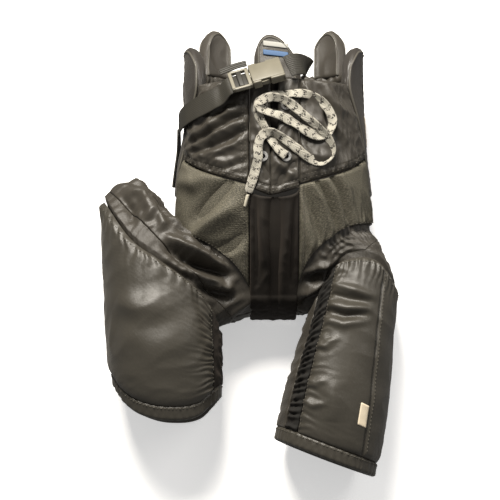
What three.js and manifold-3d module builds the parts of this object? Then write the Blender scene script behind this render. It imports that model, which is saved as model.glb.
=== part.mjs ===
// Padded ice hockey pants, lying on their back with the lace and the belt buckle upwards.
// X runs across the waist, Y runs from the leg hems up to the waist, and Z is up, out of the front.
import * as THREE from 'three';
import { mergeVertices } from 'three/addons/utils/BufferGeometryUtils.js';
import Module from 'manifold-3d';

const wasm = await Module();
wasm.setup();

const { degToRad, lerp } = THREE.MathUtils;

// ---------------------------------------------------------------- driving dimensions, mm
const WAIST_HALF_WIDTH = 103;
const HIP_HALF_WIDTH = 113;
const WAIST_HEIGHT = 150;
const HIP_HEIGHT = 136;
const CROTCH_HEIGHT = 64;
const FRONT_TOP = 184;
const BACK_TOP = 212;
const CROTCH = -74;
const TRUNK_MIDDLE = 27;
const ROUNDNESS = 2.2;
const SETTLE = 6;

const FLY_HALF_WIDTH = 28;
const FLY_SLIT = 7;
const APRON_HEM = 62;
const HIP_PAD_FOOT = 62;

const SEAM_GAP = 0.9;
const LAYER_GAP = 0.6;
const LEG_LAYER_GAP = 1.6;
const BRIDGE_GAP = 6.5;
const CLOTH = 2.4;
const QUILT = 4;
const PLATE = 2.2;
const FOAM = 8;
const LINING = 1.6;

const GUARD_GAP = 3;
const GUARD_FOAM = 9;
const GUARD_STANDOFF = 1.5;
const GUARD_PLATE_INSET = 2.5;
const GUARD_ROUNDNESS = 1.9;
const SPINE_FROM = 161;
const SPINE_TO = 192;
const SPINE_HEIGHT = 60;
const SPINE_SKEW = 1.7;
const KIDNEY_FROM = 120;
const KIDNEY_TO = 150;
const KIDNEY_HEIGHT = 62;
const HIP_PAD_TOP = 236;
const HIP_PAD_BACK = 108;

const WEBBING_WIDTH = 25;
const WEBBING = 1.8;
const SIDE_RUN_WIDTH = 20;
const TAIL_WIDTH = 7;
const BUCKLE_X = 2;
const BUCKLE_Y = 179;
const BUCKLE_FLOOR = WAIST_HEIGHT + 5.5;
const BUCKLE_TURN = 16;
const BUCKLE_ROLL = 35;
const SOCKET_LENGTH = 36;
const SOCKET_WIDTH = 32;
const SOCKET_HEIGHT = 9.6;
const SOCKET_WALL = 1.8;
const WINDOW_FROM = 9;
const WINDOW_LENGTH = 11;
const FRAME_LENGTH = 23;
const FRAME_BAR = 4;
const PLUG_HEIGHT = 4.6;
const PRONG_WIDTH = 3.6;
const FIT = 0.4;

const EYELET_BORE = 3;
const EYELET_BARREL = 4;
const EYELET_LIFT = 0.5;
const EYELET_OUT = 13;
const EYELET_ROWS = [['top', 153], ['bottom', 96]];
const EYELET_FLANGE = 6;
const LACE_CORE = 3;
const AGLET_LENGTH = 14;
const AGLET_RADIUS = 2;

// Each leg: which side it is on, the middle of its hem, how far its top leans to +X, and its
// stations. Widths and heights go by the distance from the hem, hem and mouth by the place
// across the leg, from -1 at its -X side to 1 at its +X side.
const LEGS = {
  right: {
    side: -1,
    x: TRUNK_MIDDLE - HIP_HALF_WIDTH - 6,
    y: -194,
    lean: -3,
    swell: 36,
    halfWidth: [[0, 58], [60, 63], [160, 65], [262, 66]],
    height: [[0, 100], [60, 118], [150, 122], [262, 112]],
    hem: [[-1, 44], [-0.8, 22], [-0.5, 8], [0, 0], [0.6, 3], [1, 24]],
    mouth: [[-1, 258], [-0.5, 206], [0, 179], [0.45, 156], [0.8, 131], [1, 100]],
  },
  left: {
    side: 1,
    x: TRUNK_MIDDLE + HIP_HALF_WIDTH - 56,
    y: -236,
    lean: 11,
    swell: 4,
    halfWidth: [[0, 60], [80, 57], [140, 51], [190, 47], [234, 45]],
    height: [[0, 108], [80, 116], [160, 114], [234, 106]],
    hem: [[-1, 11], [0, 0], [1, -9]],
    mouth: [[-1, 155], [-0.75, 206], [-0.3, 226], [0.4, 228], [1, 204]],
  },
};
const LEG_COVER_EDGE = 122;
const INNER_SEAM = 58;
const HEM_BAND = 14;

// Height of the trunk's lower edge by the angle from the middle of the front or of the back.
const TRUNK_EDGE = {
  right: [[0, CROTCH], [7, CROTCH + 6], [12, -44], [21, -20], [36, 0], [53, 14], [90, 30]],
  left: [[0, CROTCH], [7, CROTCH + 6], [12, -42], [18, -14], [37, 15], [53, 25], [90, 32]],
};
const YOKE_SEAM = [[0, 66], [0.5, 84], [1, 104]];

const NYLON = { color: 0x3a352e, roughness: 0.55, metalness: 0 };
const TWILL = { color: 0x2c2a25, roughness: 0.9, metalness: 0 };
const JERSEY = { color: 0x11110f, roughness: 0.85, metalness: 0 };
const WEB = { color: 0x3d3930, roughness: 0.7, metalness: 0 };
const FOAMED = { color: 0xb9b6ad, roughness: 0.95, metalness: 0 };
const POLYETHYLENE = { color: 0xd8d6cf, roughness: 0.45, metalness: 0 };
const ACETAL = { color: 0x6b6454, roughness: 0.35, metalness: 0 };
const STEEL = { color: 0xc9c6bd, roughness: 0.25, metalness: 1 };
const LACE = { color: 0xcabfa6, roughness: 0.8, metalness: 0 };
const PATCH = { color: 0xe8e2d4, roughness: 0.5, metalness: 0 };

// ---------------------------------------------------------------- tools

// The value at a place, on a smooth line through [place, value] stations in rising order.
function along(stations, place) {
  const last = stations.length - 1;
  let i = 0;
  while (i < last - 1 && place > stations[i + 1][0]) {
    i += 1;
  }
  const slope = (a, b) => (stations[b][1] - stations[a][1]) / (stations[b][0] - stations[a][0]);
  const [x0, y0] = stations[i];
  const [x1, y1] = stations[i + 1];
  const t = THREE.MathUtils.clamp((place - x0) / (x1 - x0), 0, 1);
  const m0 = slope(Math.max(i - 1, 0), i + 1) * (x1 - x0);
  const m1 = slope(i, Math.min(i + 2, last)) * (x1 - x0);
  const t2 = t * t;
  const t3 = t2 * t;
  return (2 * t3 - 3 * t2 + 1) * y0 + (t3 - 2 * t2 + t) * m0 + (3 * t2 - 2 * t3) * y1 + (t3 - t2) * m1;
}

// A sine or cosine pushed towards a square, for sections between an ellipse and a box.
const squared = (value) => Math.sign(value) * Math.abs(value) ** (2 / ROUNDNESS);

const merged = (geometry) => {
  geometry.deleteAttribute('normal');
  geometry.deleteAttribute('uv');
  return mergeVertices(geometry, 1e-4);
};

// A panel is a flat box bent onto a surface: place(u, v, depth) is the point that lies u across
// and v along, at a depth under the outer face.
function panel(place, outer, inner, across, lengthwise) {
  const geometry = new THREE.BoxGeometry(1, 1, 1, across, lengthwise, 1);
  const position = geometry.attributes.position;
  for (let i = 0; i < position.count; i += 1) {
    const depth = position.getZ(i) > 0 ? outer : inner;
    const point = place(position.getX(i) + 0.5, position.getY(i) + 0.5, depth);
    position.setXYZ(i, point.x, point.y, point.z);
  }
  return merged(geometry);
}

const solidOf = (geometry) => new wasm.Manifold(new wasm.Mesh({
  numProp: 3,
  vertProperties: new Float32Array(geometry.attributes.position.array),
  triVerts: new Uint32Array(geometry.index.array),
}));

function geometryOf(solid) {
  const mesh = solid.getMesh();
  const geometry = new THREE.BufferGeometry();
  geometry.setAttribute('position', new THREE.BufferAttribute(new Float32Array(mesh.vertProperties), 3));
  geometry.setIndex(new THREE.BufferAttribute(new Uint32Array(mesh.triVerts), 1));
  return geometry;
}

const cut = (geometry, cutters) => geometryOf(
  cutters.reduce((solid, cutter) => solid.subtract(solidOf(cutter)), solidOf(geometry)),
);

const join = (parts) => geometryOf(
  parts.map(solidOf).reduce((whole, part) => whole.add(part)),
);

// A block from one corner to the opposite one.
function block(x0, x1, y0, y1, z0, z1) {
  const geometry = new THREE.BoxGeometry(x1 - x0, y1 - y0, z1 - z0);
  geometry.translate((x0 + x1) / 2, (y0 + y1) / 2, (z0 + z1) / 2);
  return merged(geometry);
}

const pants = new THREE.Group();

function add(name, geometry, finish) {
  const mesh = new THREE.Mesh(geometry, new THREE.MeshStandardMaterial(finish));
  mesh.name = name;
  pants.add(mesh);
  return mesh;
}

// ---------------------------------------------------------------- trunk

const TRUNK_WIDTHS = [[CROTCH, HIP_HALF_WIDTH], [60, HIP_HALF_WIDTH], [130, WAIST_HALF_WIDTH + 2],
  [FRONT_TOP, WAIST_HALF_WIDTH], [270, WAIST_HALF_WIDTH]];
const TRUNK_HEIGHTS = [[CROTCH, CROTCH_HEIGHT], [-40, CROTCH_HEIGHT + 24], [0, HIP_HEIGHT - 22],
  [60, HIP_HEIGHT], [130, WAIST_HEIGHT - 3], [FRONT_TOP, WAIST_HEIGHT], [270, WAIST_HEIGHT]];

// The trunk's surface: angle 0 is the middle of the front and 180 the middle of the back.
// It is flat underneath, where it rests.
function trunk(angle, y, depth) {
  const turn = degToRad(angle);
  const height = along(TRUNK_HEIGHTS, y);
  const middle = height / 2 - SETTLE;
  const x = TRUNK_MIDDLE + (along(TRUNK_WIDTHS, y) - depth) * squared(Math.sin(turn));
  const z = middle + (height - depth - middle) * squared(Math.cos(turn));
  return new THREE.Vector3(x, y, Math.max(z, depth));
}

// The angle at which the trunk's front lies a distance out from its middle.
const frontAngle = (out, y) => {
  const share = Math.sign(out) * (Math.abs(out) / along(TRUNK_WIDTHS, y)) ** (ROUNDNESS / 2);
  return THREE.MathUtils.radToDeg(Math.asin(share));
};

const SEAM_ANGLE = THREE.MathUtils.radToDeg(SEAM_GAP / 2 / WAIST_HALF_WIDTH) * 1.2;
const fromMiddle = (angle) => Math.min(Math.abs(angle), 180 - Math.abs(angle));

// A panel on the trunk. Its side edges are angles that may change with y, and its ends are
// heights that may change across it.
function trunkPanel(name, finish, shape) {
  const { from, to, low, high, outer, inner, across = 8, lengthwise = 6, margin = SEAM_GAP / 2 } = shape;
  const value = (edge, at) => (typeof edge === 'function' ? edge(at) : edge);
  const place = (u, v, depth) => {
    const y = lerp(value(low, u) + margin, value(high, u) - margin, v);
    const a = value(from, y) + SEAM_ANGLE;
    const b = value(to, y) - SEAM_ANGLE;
    return trunk(lerp(a, b, u), y, depth);
  };
  return add(name, panel(place, outer, inner, across, lengthwise), finish);
}

const HIP_PAD_EDGE = [[HIP_PAD_FOOT, 80], [125, 72], [150, 64], [FRONT_TOP, 54], [HIP_PAD_TOP, 60]];
const hipEdge = (y) => along(HIP_PAD_EDGE, y);
const flyEdge = (y) => frontAngle(FLY_HALF_WIDTH, y);
const FLY_ANGLE = flyEdge(0);
const SIDE_ANGLE = 88;
const sideEdge = (y) => lerp(SIDE_ANGLE, hipEdge(y), THREE.MathUtils.clamp((y - 34) / 26, 0, 1));
const rounded = (u, share = 3) => (1 - Math.abs(2 * u - 1) ** share) ** (1 / share);

for (const [name, side] of [['right', -1], ['left', 1]]) {
  const edge = TRUNK_EDGE[name];
  // Angles on the right side are negative, so its panels run from the side to the middle.
  const across = (inner, outer) => (side > 0 ? { from: inner, to: outer } : {
    from: (y) => -(typeof outer === 'function' ? outer(y) : outer),
    to: (y) => -(typeof inner === 'function' ? inner(y) : inner),
  });
  const outward = (u) => (side > 0 ? u : 1 - u);
  const yokeSeam = (u) => along(YOKE_SEAM, outward(u));

  trunkPanel(`front_yoke_${name}`, NYLON, {
    ...across(flyEdge, hipEdge),
    low: yokeSeam,
    high: FRONT_TOP,
    outer: 0,
    inner: QUILT,
  });
  trunkPanel(`front_thigh_panel_${name}`, TWILL, {
    ...across(flyEdge, sideEdge),
    low: (u) => along(edge, lerp(FLY_ANGLE, SIDE_ANGLE, outward(u))),
    high: yokeSeam,
    outer: 0,
    inner: QUILT,
    across: 12,
    lengthwise: 6,
  });
  trunkPanel(`side_panel_${name}`, NYLON, {
    ...across(sideEdge, HIP_PAD_BACK + 2),
    low: (u) => along(edge, fromMiddle(lerp(SIDE_ANGLE, HIP_PAD_BACK + 2, outward(u)))),
    high: HIP_PAD_FOOT - 1,
    outer: 0,
    inner: QUILT,
    across: 3,
    lengthwise: 4,
  });
  const hipTop = (u) => FRONT_TOP - 6 + (HIP_PAD_TOP - FRONT_TOP + 6) * rounded(u);
  trunkPanel(`hip_pad_${name}`, NYLON, {
    ...across(hipEdge, HIP_PAD_BACK),
    low: HIP_PAD_FOOT,
    high: hipTop,
    outer: -GUARD_STANDOFF,
    inner: GUARD_FOAM,
    lengthwise: 8,
    across: 6,
  });
  trunkPanel(`hip_plate_${name}`, POLYETHYLENE, {
    ...across((y) => hipEdge(y) + 5, HIP_PAD_BACK - 5),
    low: HIP_PAD_FOOT + 12,
    high: (u) => hipTop(lerp(0.08, 0.92, u)) - 8,
    outer: GUARD_FOAM + LEG_LAYER_GAP,
    inner: GUARD_FOAM + LEG_LAYER_GAP + PLATE,
    lengthwise: 8,
    across: 6,
  });
  const facing = trunkPanel(`fly_facing_${name}`, NYLON, {
    ...across((y) => frontAngle(FLY_SLIT / 2, y), flyEdge),
    low: (u) => APRON_HEM - 9 * (1 - outward(u)),
    high: FRONT_TOP,
    outer: 0,
    inner: CLOTH,
    across: 2,
    lengthwise: 5,
  });

  // Two eyelets in the facing: a barrel through the cloth under a wide flange.
  for (const [row, y] of EYELET_ROWS) {
    const top = trunk(0, y, 0).z;
    const x = TRUNK_MIDDLE + side * EYELET_OUT;
    const hole = new THREE.CylinderGeometry(EYELET_BARREL + FIT, EYELET_BARREL + FIT, 40, 16);
    hole.rotateX(Math.PI / 2);
    hole.translate(x, y, top);
    facing.geometry = cut(facing.geometry, [merged(hole)]);
    const section = [
      [EYELET_BORE, -CLOTH], [EYELET_BARREL, -CLOTH], [EYELET_BARREL, EYELET_LIFT],
      [EYELET_FLANGE, EYELET_LIFT], [EYELET_FLANGE, EYELET_LIFT + 1], [EYELET_BORE, EYELET_LIFT + 1],
      [EYELET_BORE, -CLOTH],
    ].map((p) => new THREE.Vector2(...p));
    const eyelet = new THREE.LatheGeometry(section, 16);
    eyelet.rotateX(Math.PI / 2);
    eyelet.translate(x, y, top);
    add(`eyelet_${row}_${name}`, merged(eyelet), STEEL);
  }
}

trunkPanel('fly_tongue', JERSEY, {
  from: (y) => -frontAngle(FLY_HALF_WIDTH - 4, y),
  to: (y) => frontAngle(FLY_HALF_WIDTH - 4, y),
  low: APRON_HEM + 6,
  high: FRONT_TOP - 4,
  outer: CLOTH + LAYER_GAP,
  inner: CLOTH + LAYER_GAP + QUILT,
  across: 5,
  lengthwise: 5,
});

// The stretch gusset runs down the middle and turns under at the crotch, down to the seat.
const GUSSET_NOSE = 0.72;
const gussetTop = (u) => APRON_HEM - 9 * rounded(u, 2) - SEAM_GAP;
function gusset(u, v, depth) {
  const start = CROTCH + 22;
  const y = lerp(start, gussetTop(u), Math.max(0, (v - 1 + GUSSET_NOSE) / GUSSET_NOSE));
  const edge = frontAngle(FLY_HALF_WIDTH, y) - SEAM_ANGLE;
  const point = trunk(lerp(-edge, edge, u), y, depth);
  if (v < 1 - GUSSET_NOSE) {
    const turn = (1 - v / (1 - GUSSET_NOSE)) * Math.PI / 2;
    const foot = QUILT + 2;
    point.y = start - (start - CROTCH - depth) * Math.sin(turn);
    point.z = foot + (point.z - foot) * Math.cos(turn);
  }
  return point;
}
add('groin_gusset', panel(gusset, 0, CLOTH, 4, 14), JERSEY);

// The back wall, with the tailbone pad in it, the lining inside and the belt's back run.
const seatLow = (u) => {
  const angle = lerp(HIP_PAD_BACK + 2, 358 - HIP_PAD_BACK, u);
  return along(angle > 180 ? TRUNK_EDGE.right : TRUNK_EDGE.left, Math.abs(180 - angle));
};
const backFrom = HIP_PAD_BACK + 2;
const backTo = 360 - backFrom;
trunkPanel('seat_cover', NYLON, {
  from: backFrom,
  to: backTo,
  low: seatLow,
  high: BACK_TOP,
  outer: 0,
  inner: CLOTH,
  across: 16,
  lengthwise: 8,
});
const padDepth = CLOTH + LAYER_GAP;
trunkPanel('tailbone_pad', FOAMED, {
  from: 162,
  to: 198,
  low: (u) => 6 - 26 * rounded(u),
  high: (u) => 118 + 26 * rounded(u),
  outer: padDepth,
  inner: padDepth + FOAM,
  across: 6,
  lengthwise: 5,
});
const liningDepth = padDepth + FOAM + LAYER_GAP;
trunkPanel('seat_lining', JERSEY, {
  from: backFrom + 3,
  to: backTo - 3,
  low: (u) => Math.max(seatLow(u), -40) + 8,
  high: BACK_TOP - 4,
  outer: liningDepth,
  inner: liningDepth + LINING,
  across: 12,
  lengthwise: 6,
});
const beltDepth = liningDepth + LINING + 2 * LAYER_GAP;
trunkPanel('belt_back_run', WEB, {
  from: backFrom + 6,
  to: backTo - 6,
  low: FRONT_TOP - 20 - WEBBING_WIDTH,
  high: FRONT_TOP - 20,
  outer: beltDepth,
  inner: beltDepth + WEBBING,
  across: 12,
  lengthwise: 1,
});

// ---------------------------------------------------------------- guards above the back

// A guard's top is round, and skew moves its peak towards its last edge.
function guard(name, from, to, height, lowest, skew = 1) {
  const foot = BACK_TOP + GUARD_GAP;
  const top = (u) => foot + lowest + (height - lowest) * rounded(u ** skew, GUARD_ROUNDNESS);
  trunkPanel(`${name}_plate`, POLYETHYLENE, {
    from: from + GUARD_PLATE_INSET,
    to: to - GUARD_PLATE_INSET,
    low: foot + GUARD_PLATE_INSET,
    high: (u) => top(lerp(0.1, 0.94, u)) - 2 * GUARD_PLATE_INSET,
    outer: GUARD_STANDOFF,
    inner: GUARD_STANDOFF + PLATE,
    across: 6,
    lengthwise: 3,
  });
  trunkPanel(`${name}_pad`, NYLON, {
    from,
    to,
    low: foot,
    high: top,
    outer: GUARD_STANDOFF + PLATE + LAYER_GAP,
    inner: GUARD_STANDOFF + PLATE + LAYER_GAP + GUARD_FOAM,
    across: 8,
    lengthwise: 4,
  });
}
guard('spine', SPINE_FROM, SPINE_TO, SPINE_HEIGHT, 20, SPINE_SKEW);
guard('kidney_left', KIDNEY_FROM, KIDNEY_TO, KIDNEY_HEIGHT, 20);
guard('kidney_right', 360 - KIDNEY_TO, 360 - KIDNEY_FROM, KIDNEY_HEIGHT, 20);

// ---------------------------------------------------------------- legs

// A leg's surface: angle 0 is its front, 90 its +X side and 180 its back, which rests flat.
function legPoint(leg, angle, rise, depth) {
  const turn = degToRad(angle);
  const lean = degToRad(leg.lean);
  const out = (along(leg.halfWidth, rise) - depth) * squared(Math.sin(turn));
  const height = along(leg.height, rise);
  const middle = height / 2 - SETTLE;
  const z = middle + (height - depth - middle) * squared(Math.cos(turn));
  return new THREE.Vector3(
    leg.x + rise * Math.sin(lean) + out * Math.cos(lean),
    leg.y + rise * Math.cos(lean) - out * Math.sin(lean),
    Math.max(z, depth),
  );
}

const acrossLeg = (angle) => squared(Math.sin(degToRad(angle)));
const hemOf = (leg, angle) => along(leg.hem, acrossLeg(angle));
const mouthOf = (leg, angle) => along(leg.mouth, acrossLeg(angle));

// A panel on a leg, from one angle to another, between two shares of the way from the hem band
// to the mouth, less a margin at each end.
function legPanel(name, finish, leg, shape) {
  const { from, to, outer, inner, across = 8, lengthwise = 5, margin = SEAM_GAP / 2, edge = 0 } = shape;
  const place = (u, v, depth) => {
    const angle = lerp(from + SEAM_ANGLE * 2 + edge, to - SEAM_ANGLE * 2 - edge, u);
    const low = hemOf(leg, angle) + HEM_BAND + margin;
    const high = mouthOf(leg, angle) - margin;
    return legPoint(leg, angle, lerp(low, high, v), depth);
  };
  return add(name, panel(place, outer, inner, across, lengthwise), finish);
}

// The mouth of the trunk for one leg, from the crotch over the front and the side to the back.
function trunkRing(name, side, u, depth) {
  const angle = lerp(FLY_ANGLE + 2, 178 - FLY_ANGLE, u);
  return trunk(side * angle, along(TRUNK_EDGE[name], fromMiddle(angle)) - BRIDGE_GAP, depth);
}

// The mouth of the leg, on the same turns.
function legRing(leg, side, u, depth) {
  const angle = side * lerp(-70, 250, u);
  return legPoint(leg, angle, mouthOf(leg, angle) + BRIDGE_GAP, depth);
}

const plateDepth = CLOTH + LEG_LAYER_GAP;
const foamDepth = plateDepth + PLATE + LEG_LAYER_GAP;
const thighLiningDepth = foamDepth + FOAM + LEG_LAYER_GAP;
for (const [name, leg] of Object.entries(LEGS)) {
  const { side } = leg;
  const span = (inner, outer) => (side > 0 ? { from: -inner, to: outer } : { from: -outer, to: inner });
  legPanel(`thigh_cover_${name}`, NYLON, leg, {
    ...span(INNER_SEAM, LEG_COVER_EDGE),
    outer: 0,
    inner: CLOTH,
    margin: 1,
    across: 12,
    lengthwise: 6,
  });
  legPanel(`thigh_plate_${name}`, POLYETHYLENE, leg, {
    ...span(INNER_SEAM, LEG_COVER_EDGE),
    outer: plateDepth,
    inner: plateDepth + PLATE,
    margin: 16,
    edge: 12,
    across: 9,
    lengthwise: 4,
  });
  legPanel(`thigh_foam_${name}`, FOAMED, leg, {
    ...span(INNER_SEAM, LEG_COVER_EDGE),
    outer: foamDepth,
    inner: foamDepth + FOAM,
    margin: 7,
    edge: 5,
    across: 10,
    lengthwise: 4,
  });
  legPanel(`thigh_lining_${name}`, JERSEY, leg, {
    from: side > 0 ? -178 : -182,
    to: side > 0 ? 178 : 178,
    outer: thighLiningDepth,
    inner: thighLiningDepth + LINING,
    margin: 5,
    across: 20,
    lengthwise: 4,
  });
  legPanel(`inner_thigh_${name}`, JERSEY, leg, {
    ...(side > 0 ? { from: -LEG_COVER_EDGE, to: -INNER_SEAM } : { from: INNER_SEAM, to: LEG_COVER_EDGE }),
    outer: 0,
    inner: CLOTH,
    across: 4,
  });
  legPanel(`leg_back_${name}`, NYLON, leg, {
    from: LEG_COVER_EDGE,
    to: 360 - LEG_COVER_EDGE,
    outer: 0,
    inner: QUILT,
    margin: 1,
    across: 8,
  });
  const hem = (u, v, depth) => {
    const angle = lerp(-178, 178, u);
    return legPoint(leg, angle, hemOf(leg, angle) + HEM_BAND * v, depth);
  };
  add(`hem_band_${name}`, panel(hem, 0, QUILT, 24, 1), WEB);

  // Loose cloth from the trunk to the leg, in two rings, so that the leg can turn and lift.
  for (const [ring, from, to] of [['upper', 0.085, 0.48], ['lower', 0.52, 1]]) {
    const loose = (u, v) => {
      const share = lerp(from, to, 1 - v);
      const turn = side > 0 ? u : 1 - u;
      const point = trunkRing(name, side, turn, CLOTH).lerp(legRing(leg, side, turn, CLOTH), share);
      point.y += leg.swell * Math.sin(Math.PI * share) * Math.sin(Math.PI * turn) ** 2;
      return point;
    };
    const skin = (u, v, depth) => {
      const across = loose(u + 0.01, v).sub(loose(u - 0.01, v));
      const lengthwise = loose(u, v + 0.05).sub(loose(u, v - 0.05));
      return loose(u, v).addScaledVector(across.cross(lengthwise).normalize(), -depth);
    };
    add(`bridge_${ring}_${name}`, panel(skin, -CLOTH / 2, CLOTH / 2, 18, 3), NYLON);
  }
}

// ---------------------------------------------------------------- woven labels

const LABEL_THICKNESS = 0.8;
function label(name, place) {
  add(name, panel(place, -LAYER_GAP - LABEL_THICKNESS, -LAYER_GAP, 5, 5), PATCH);
}
label('thigh_label', (u, v, depth) => legPoint(LEGS.left, lerp(24, 36, u), lerp(46, 70, v), depth));
label('hip_label', (u, v, depth) => trunk(lerp(84, 96, u), lerp(118, 152, v), depth - GUARD_STANDOFF - LAYER_GAP));

// ---------------------------------------------------------------- belt and buckle

// Webbing along a route on the trunk, given as [angle, y, lift] points.
function webbing(route, width, thickness, steps) {
  const curve = new THREE.CatmullRomCurve3(route.map((p) => new THREE.Vector3(...p)), false, 'centripetal');
  const centre = (t, lift) => {
    const p = curve.getPoint(THREE.MathUtils.clamp(t, 0, 1));
    return trunk(p.x, p.y, -p.z - lift);
  };
  const place = (u, v, depth) => {
    const forward = centre(u + 0.01, 0).sub(centre(u - 0.01, 0)).normalize();
    const out = centre(u, 4).sub(centre(u, 0));
    out.addScaledVector(forward, -out.dot(forward)).normalize();
    const sideways = new THREE.Vector3().crossVectors(out, forward);
    return centre(u, 0).addScaledVector(sideways, (v - 0.5) * width).addScaledVector(out, -depth);
  };
  return panel(place, 0, thickness, steps, 1);
}

const LEFT_RUN = [[-26, 168, 11], [-30, 165, 8], [-44, 158, 6], [-62, 152, 6], [-78, 148, 6], [-90, 146, 6]];
add('belt_front_run', webbing(LEFT_RUN, WEBBING_WIDTH, WEBBING, 10), WEB);
const SIDE_RUN = [[-97, 130, 6], [-98, 118, 6], [-99, 100, 6], [-100, 78, 6]];
add('belt_side_run', webbing(SIDE_RUN, SIDE_RUN_WIDTH, WEBBING, 6), WEB);

const buckle = new THREE.Matrix4().makeRotationZ(degToRad(BUCKLE_TURN))
  .multiply(new THREE.Matrix4().makeRotationX(degToRad(-BUCKLE_ROLL)))
  .setPosition(BUCKLE_X, BUCKLE_Y, BUCKLE_FLOOR);
const onBelt = (geometry) => geometry.applyMatrix4(buckle);

// Socket: a flat box with a mouth for the plug, two side windows and a bar for the webbing.
const halfSocket = SOCKET_WIDTH / 2;
const cavityFrom = SOCKET_WALL;
const cavityTo = SOCKET_HEIGHT - SOCKET_WALL;
const cavityDepth = SOCKET_LENGTH - 11;
const socket = cut(block(0, SOCKET_LENGTH, -halfSocket, halfSocket, 0, SOCKET_HEIGHT), [
  block(-1, cavityDepth, -halfSocket + SOCKET_WALL, halfSocket - SOCKET_WALL, cavityFrom, cavityTo),
  block(WINDOW_FROM, WINDOW_FROM + WINDOW_LENGTH, -halfSocket - 1, halfSocket + 1, cavityFrom, cavityTo),
  block(SOCKET_LENGTH - 8, SOCKET_LENGTH - 3.5, -WEBBING_WIDTH / 2, WEBBING_WIDTH / 2, -1, SOCKET_HEIGHT + 1),
]);
add('buckle_socket', onBelt(socket), ACETAL);

// Plug: a ladder frame for the webbing, a cross bar at the mouth and a guide between the prongs.
const plugFloor = (SOCKET_HEIGHT - PLUG_HEIGHT) / 2;
const plugTop = plugFloor + PLUG_HEIGHT;
const frameEnd = -FRAME_LENGTH - 1;
const slot = (FRAME_LENGTH - 3 * FRAME_BAR) / 2;
const firstSlot = frameEnd + FRAME_BAR;
const secondSlot = firstSlot + slot + FRAME_BAR;
const plug = cut(join([
  block(frameEnd, -1, -halfSocket + 0.5, halfSocket - 0.5, plugFloor, plugTop),
  block(-1.5, WINDOW_FROM + WINDOW_LENGTH, -2.5, 2.5, plugFloor, plugTop),
]), [
  block(firstSlot, firstSlot + slot, -WEBBING_WIDTH / 2, WEBBING_WIDTH / 2, 0, SOCKET_HEIGHT),
  block(secondSlot, secondSlot + slot, -WEBBING_WIDTH / 2, WEBBING_WIDTH / 2, 0, SOCKET_HEIGHT),
]);
add('buckle_plug', onBelt(plug), ACETAL);

// Prongs: sprung arms whose shoulders stand in the windows.
const shoulderFrom = WINDOW_FROM + FIT;
const shoulderTo = WINDOW_FROM + WINDOW_LENGTH - FIT;
const armOut = halfSocket - SOCKET_WALL - FIT;
for (const [name, side] of [['lower', -1], ['upper', 1]]) {
  const arm = new THREE.Shape();
  arm.moveTo(-1 + FIT, armOut);
  arm.lineTo(shoulderFrom, armOut);
  arm.lineTo(shoulderFrom, halfSocket - FIT);
  arm.quadraticCurveTo(shoulderTo - 2, halfSocket - FIT, shoulderTo, armOut - 1);
  arm.lineTo(shoulderTo, armOut - PRONG_WIDTH);
  arm.lineTo(-1 + FIT, armOut - PRONG_WIDTH);
  arm.closePath();
  const prong = new THREE.ExtrudeGeometry(arm, { depth: PLUG_HEIGHT, bevelEnabled: false, curveSegments: 4 });
  prong.translate(0, 0, plugFloor);
  if (side < 0) {
    prong.rotateX(Math.PI);
    prong.translate(0, 0, plugFloor + plugTop);
  }
  add(`buckle_prong_${name}`, onBelt(merged(prong)), ACETAL);
}

// The right run of the belt leaves the socket and goes in behind the front panel. The left run
// ends at the ladder frame, with its tail over it.
function flatRun(points, width) {
  const curve = new THREE.CatmullRomCurve3(points.map((p) => new THREE.Vector3(...p)), false, 'centripetal');
  const place = (u, v, depth) => {
    const forward = curve.getTangent(u);
    const sideways = new THREE.Vector3(0, 0, 1).cross(forward).normalize();
    const out = new THREE.Vector3().crossVectors(forward, sideways);
    return curve.getPoint(u).addScaledVector(sideways, (v - 0.5) * width).addScaledVector(out, -depth);
  };
  return panel(place, 0, WEBBING, 8, 1);
}
const RIGHT_RUN = [[41.5, 194, 158], [48, 197, 157], [56, 199, 152], [61, 200, 143], [64, 200, 132], [66, 199, 120]];
add('belt_right_run', flatRun(RIGHT_RUN, WEBBING_WIDTH), WEB);
const TAIL = [[-4, 200, 150], [-14, 197.5, 150], [-24, 194, 149], [-34, 190.5, 147]];
add('belt_tail', flatRun(TAIL, TAIL_WIDTH), WEB);

// ---------------------------------------------------------------- waist lace

// One flat lace: out of the bottom left eyelet, up to the bunch under the buckle, out and back in
// two long loops, and down the fly to its tip.
const LACE_ROUTE = [
  [40, 96, 146], [31, 103, 148], [23, 115, 149], [15, 129, 151], [9, 143, 152], [10, 155, 153],
  [20, 161, 153], [33, 163, 153], [47, 165, 152], [62, 165, 150], [76, 160, 146], [87, 150, 141],
  [92, 137, 138], [88, 125, 139], [76, 119, 143], [62, 124, 147], [49, 132, 150], [35, 139, 153],
  [20, 143, 157], [9, 149, 160], [14, 156, 161], [26, 159, 160], [38, 156, 159], [49, 149, 157],
  [61, 139, 154], [75, 128, 149], [88, 115, 142], [91, 101, 136], [80, 91, 137], [66, 94, 142],
  [52, 104, 146], [38, 114, 150], [24, 121, 154], [13, 117, 152], [9, 106, 149], [9, 94, 147],
  [6, 81, 143], [2, 68, 140], [-2, 56, 137],
].map(([x, y, z]) => {
  const front = trunk(frontAngle(x - TRUNK_MIDDLE, y), y, 0).z;
  return new THREE.Vector3(x, y, Math.max(z, front + LACE_CORE / 2 + FIT));
});
const laceLine = new THREE.CatmullRomCurve3(LACE_ROUTE, false, 'centripetal');
const laceSection = new THREE.Shape();
laceSection.absarc(0, 0, LACE_CORE / 2, 0, 2 * Math.PI);
add('lace', merged(new THREE.ExtrudeGeometry(laceSection, {
  steps: 78,
  curveSegments: 4,
  bevelEnabled: false,
  extrudePath: laceLine,
})), LACE);

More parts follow.
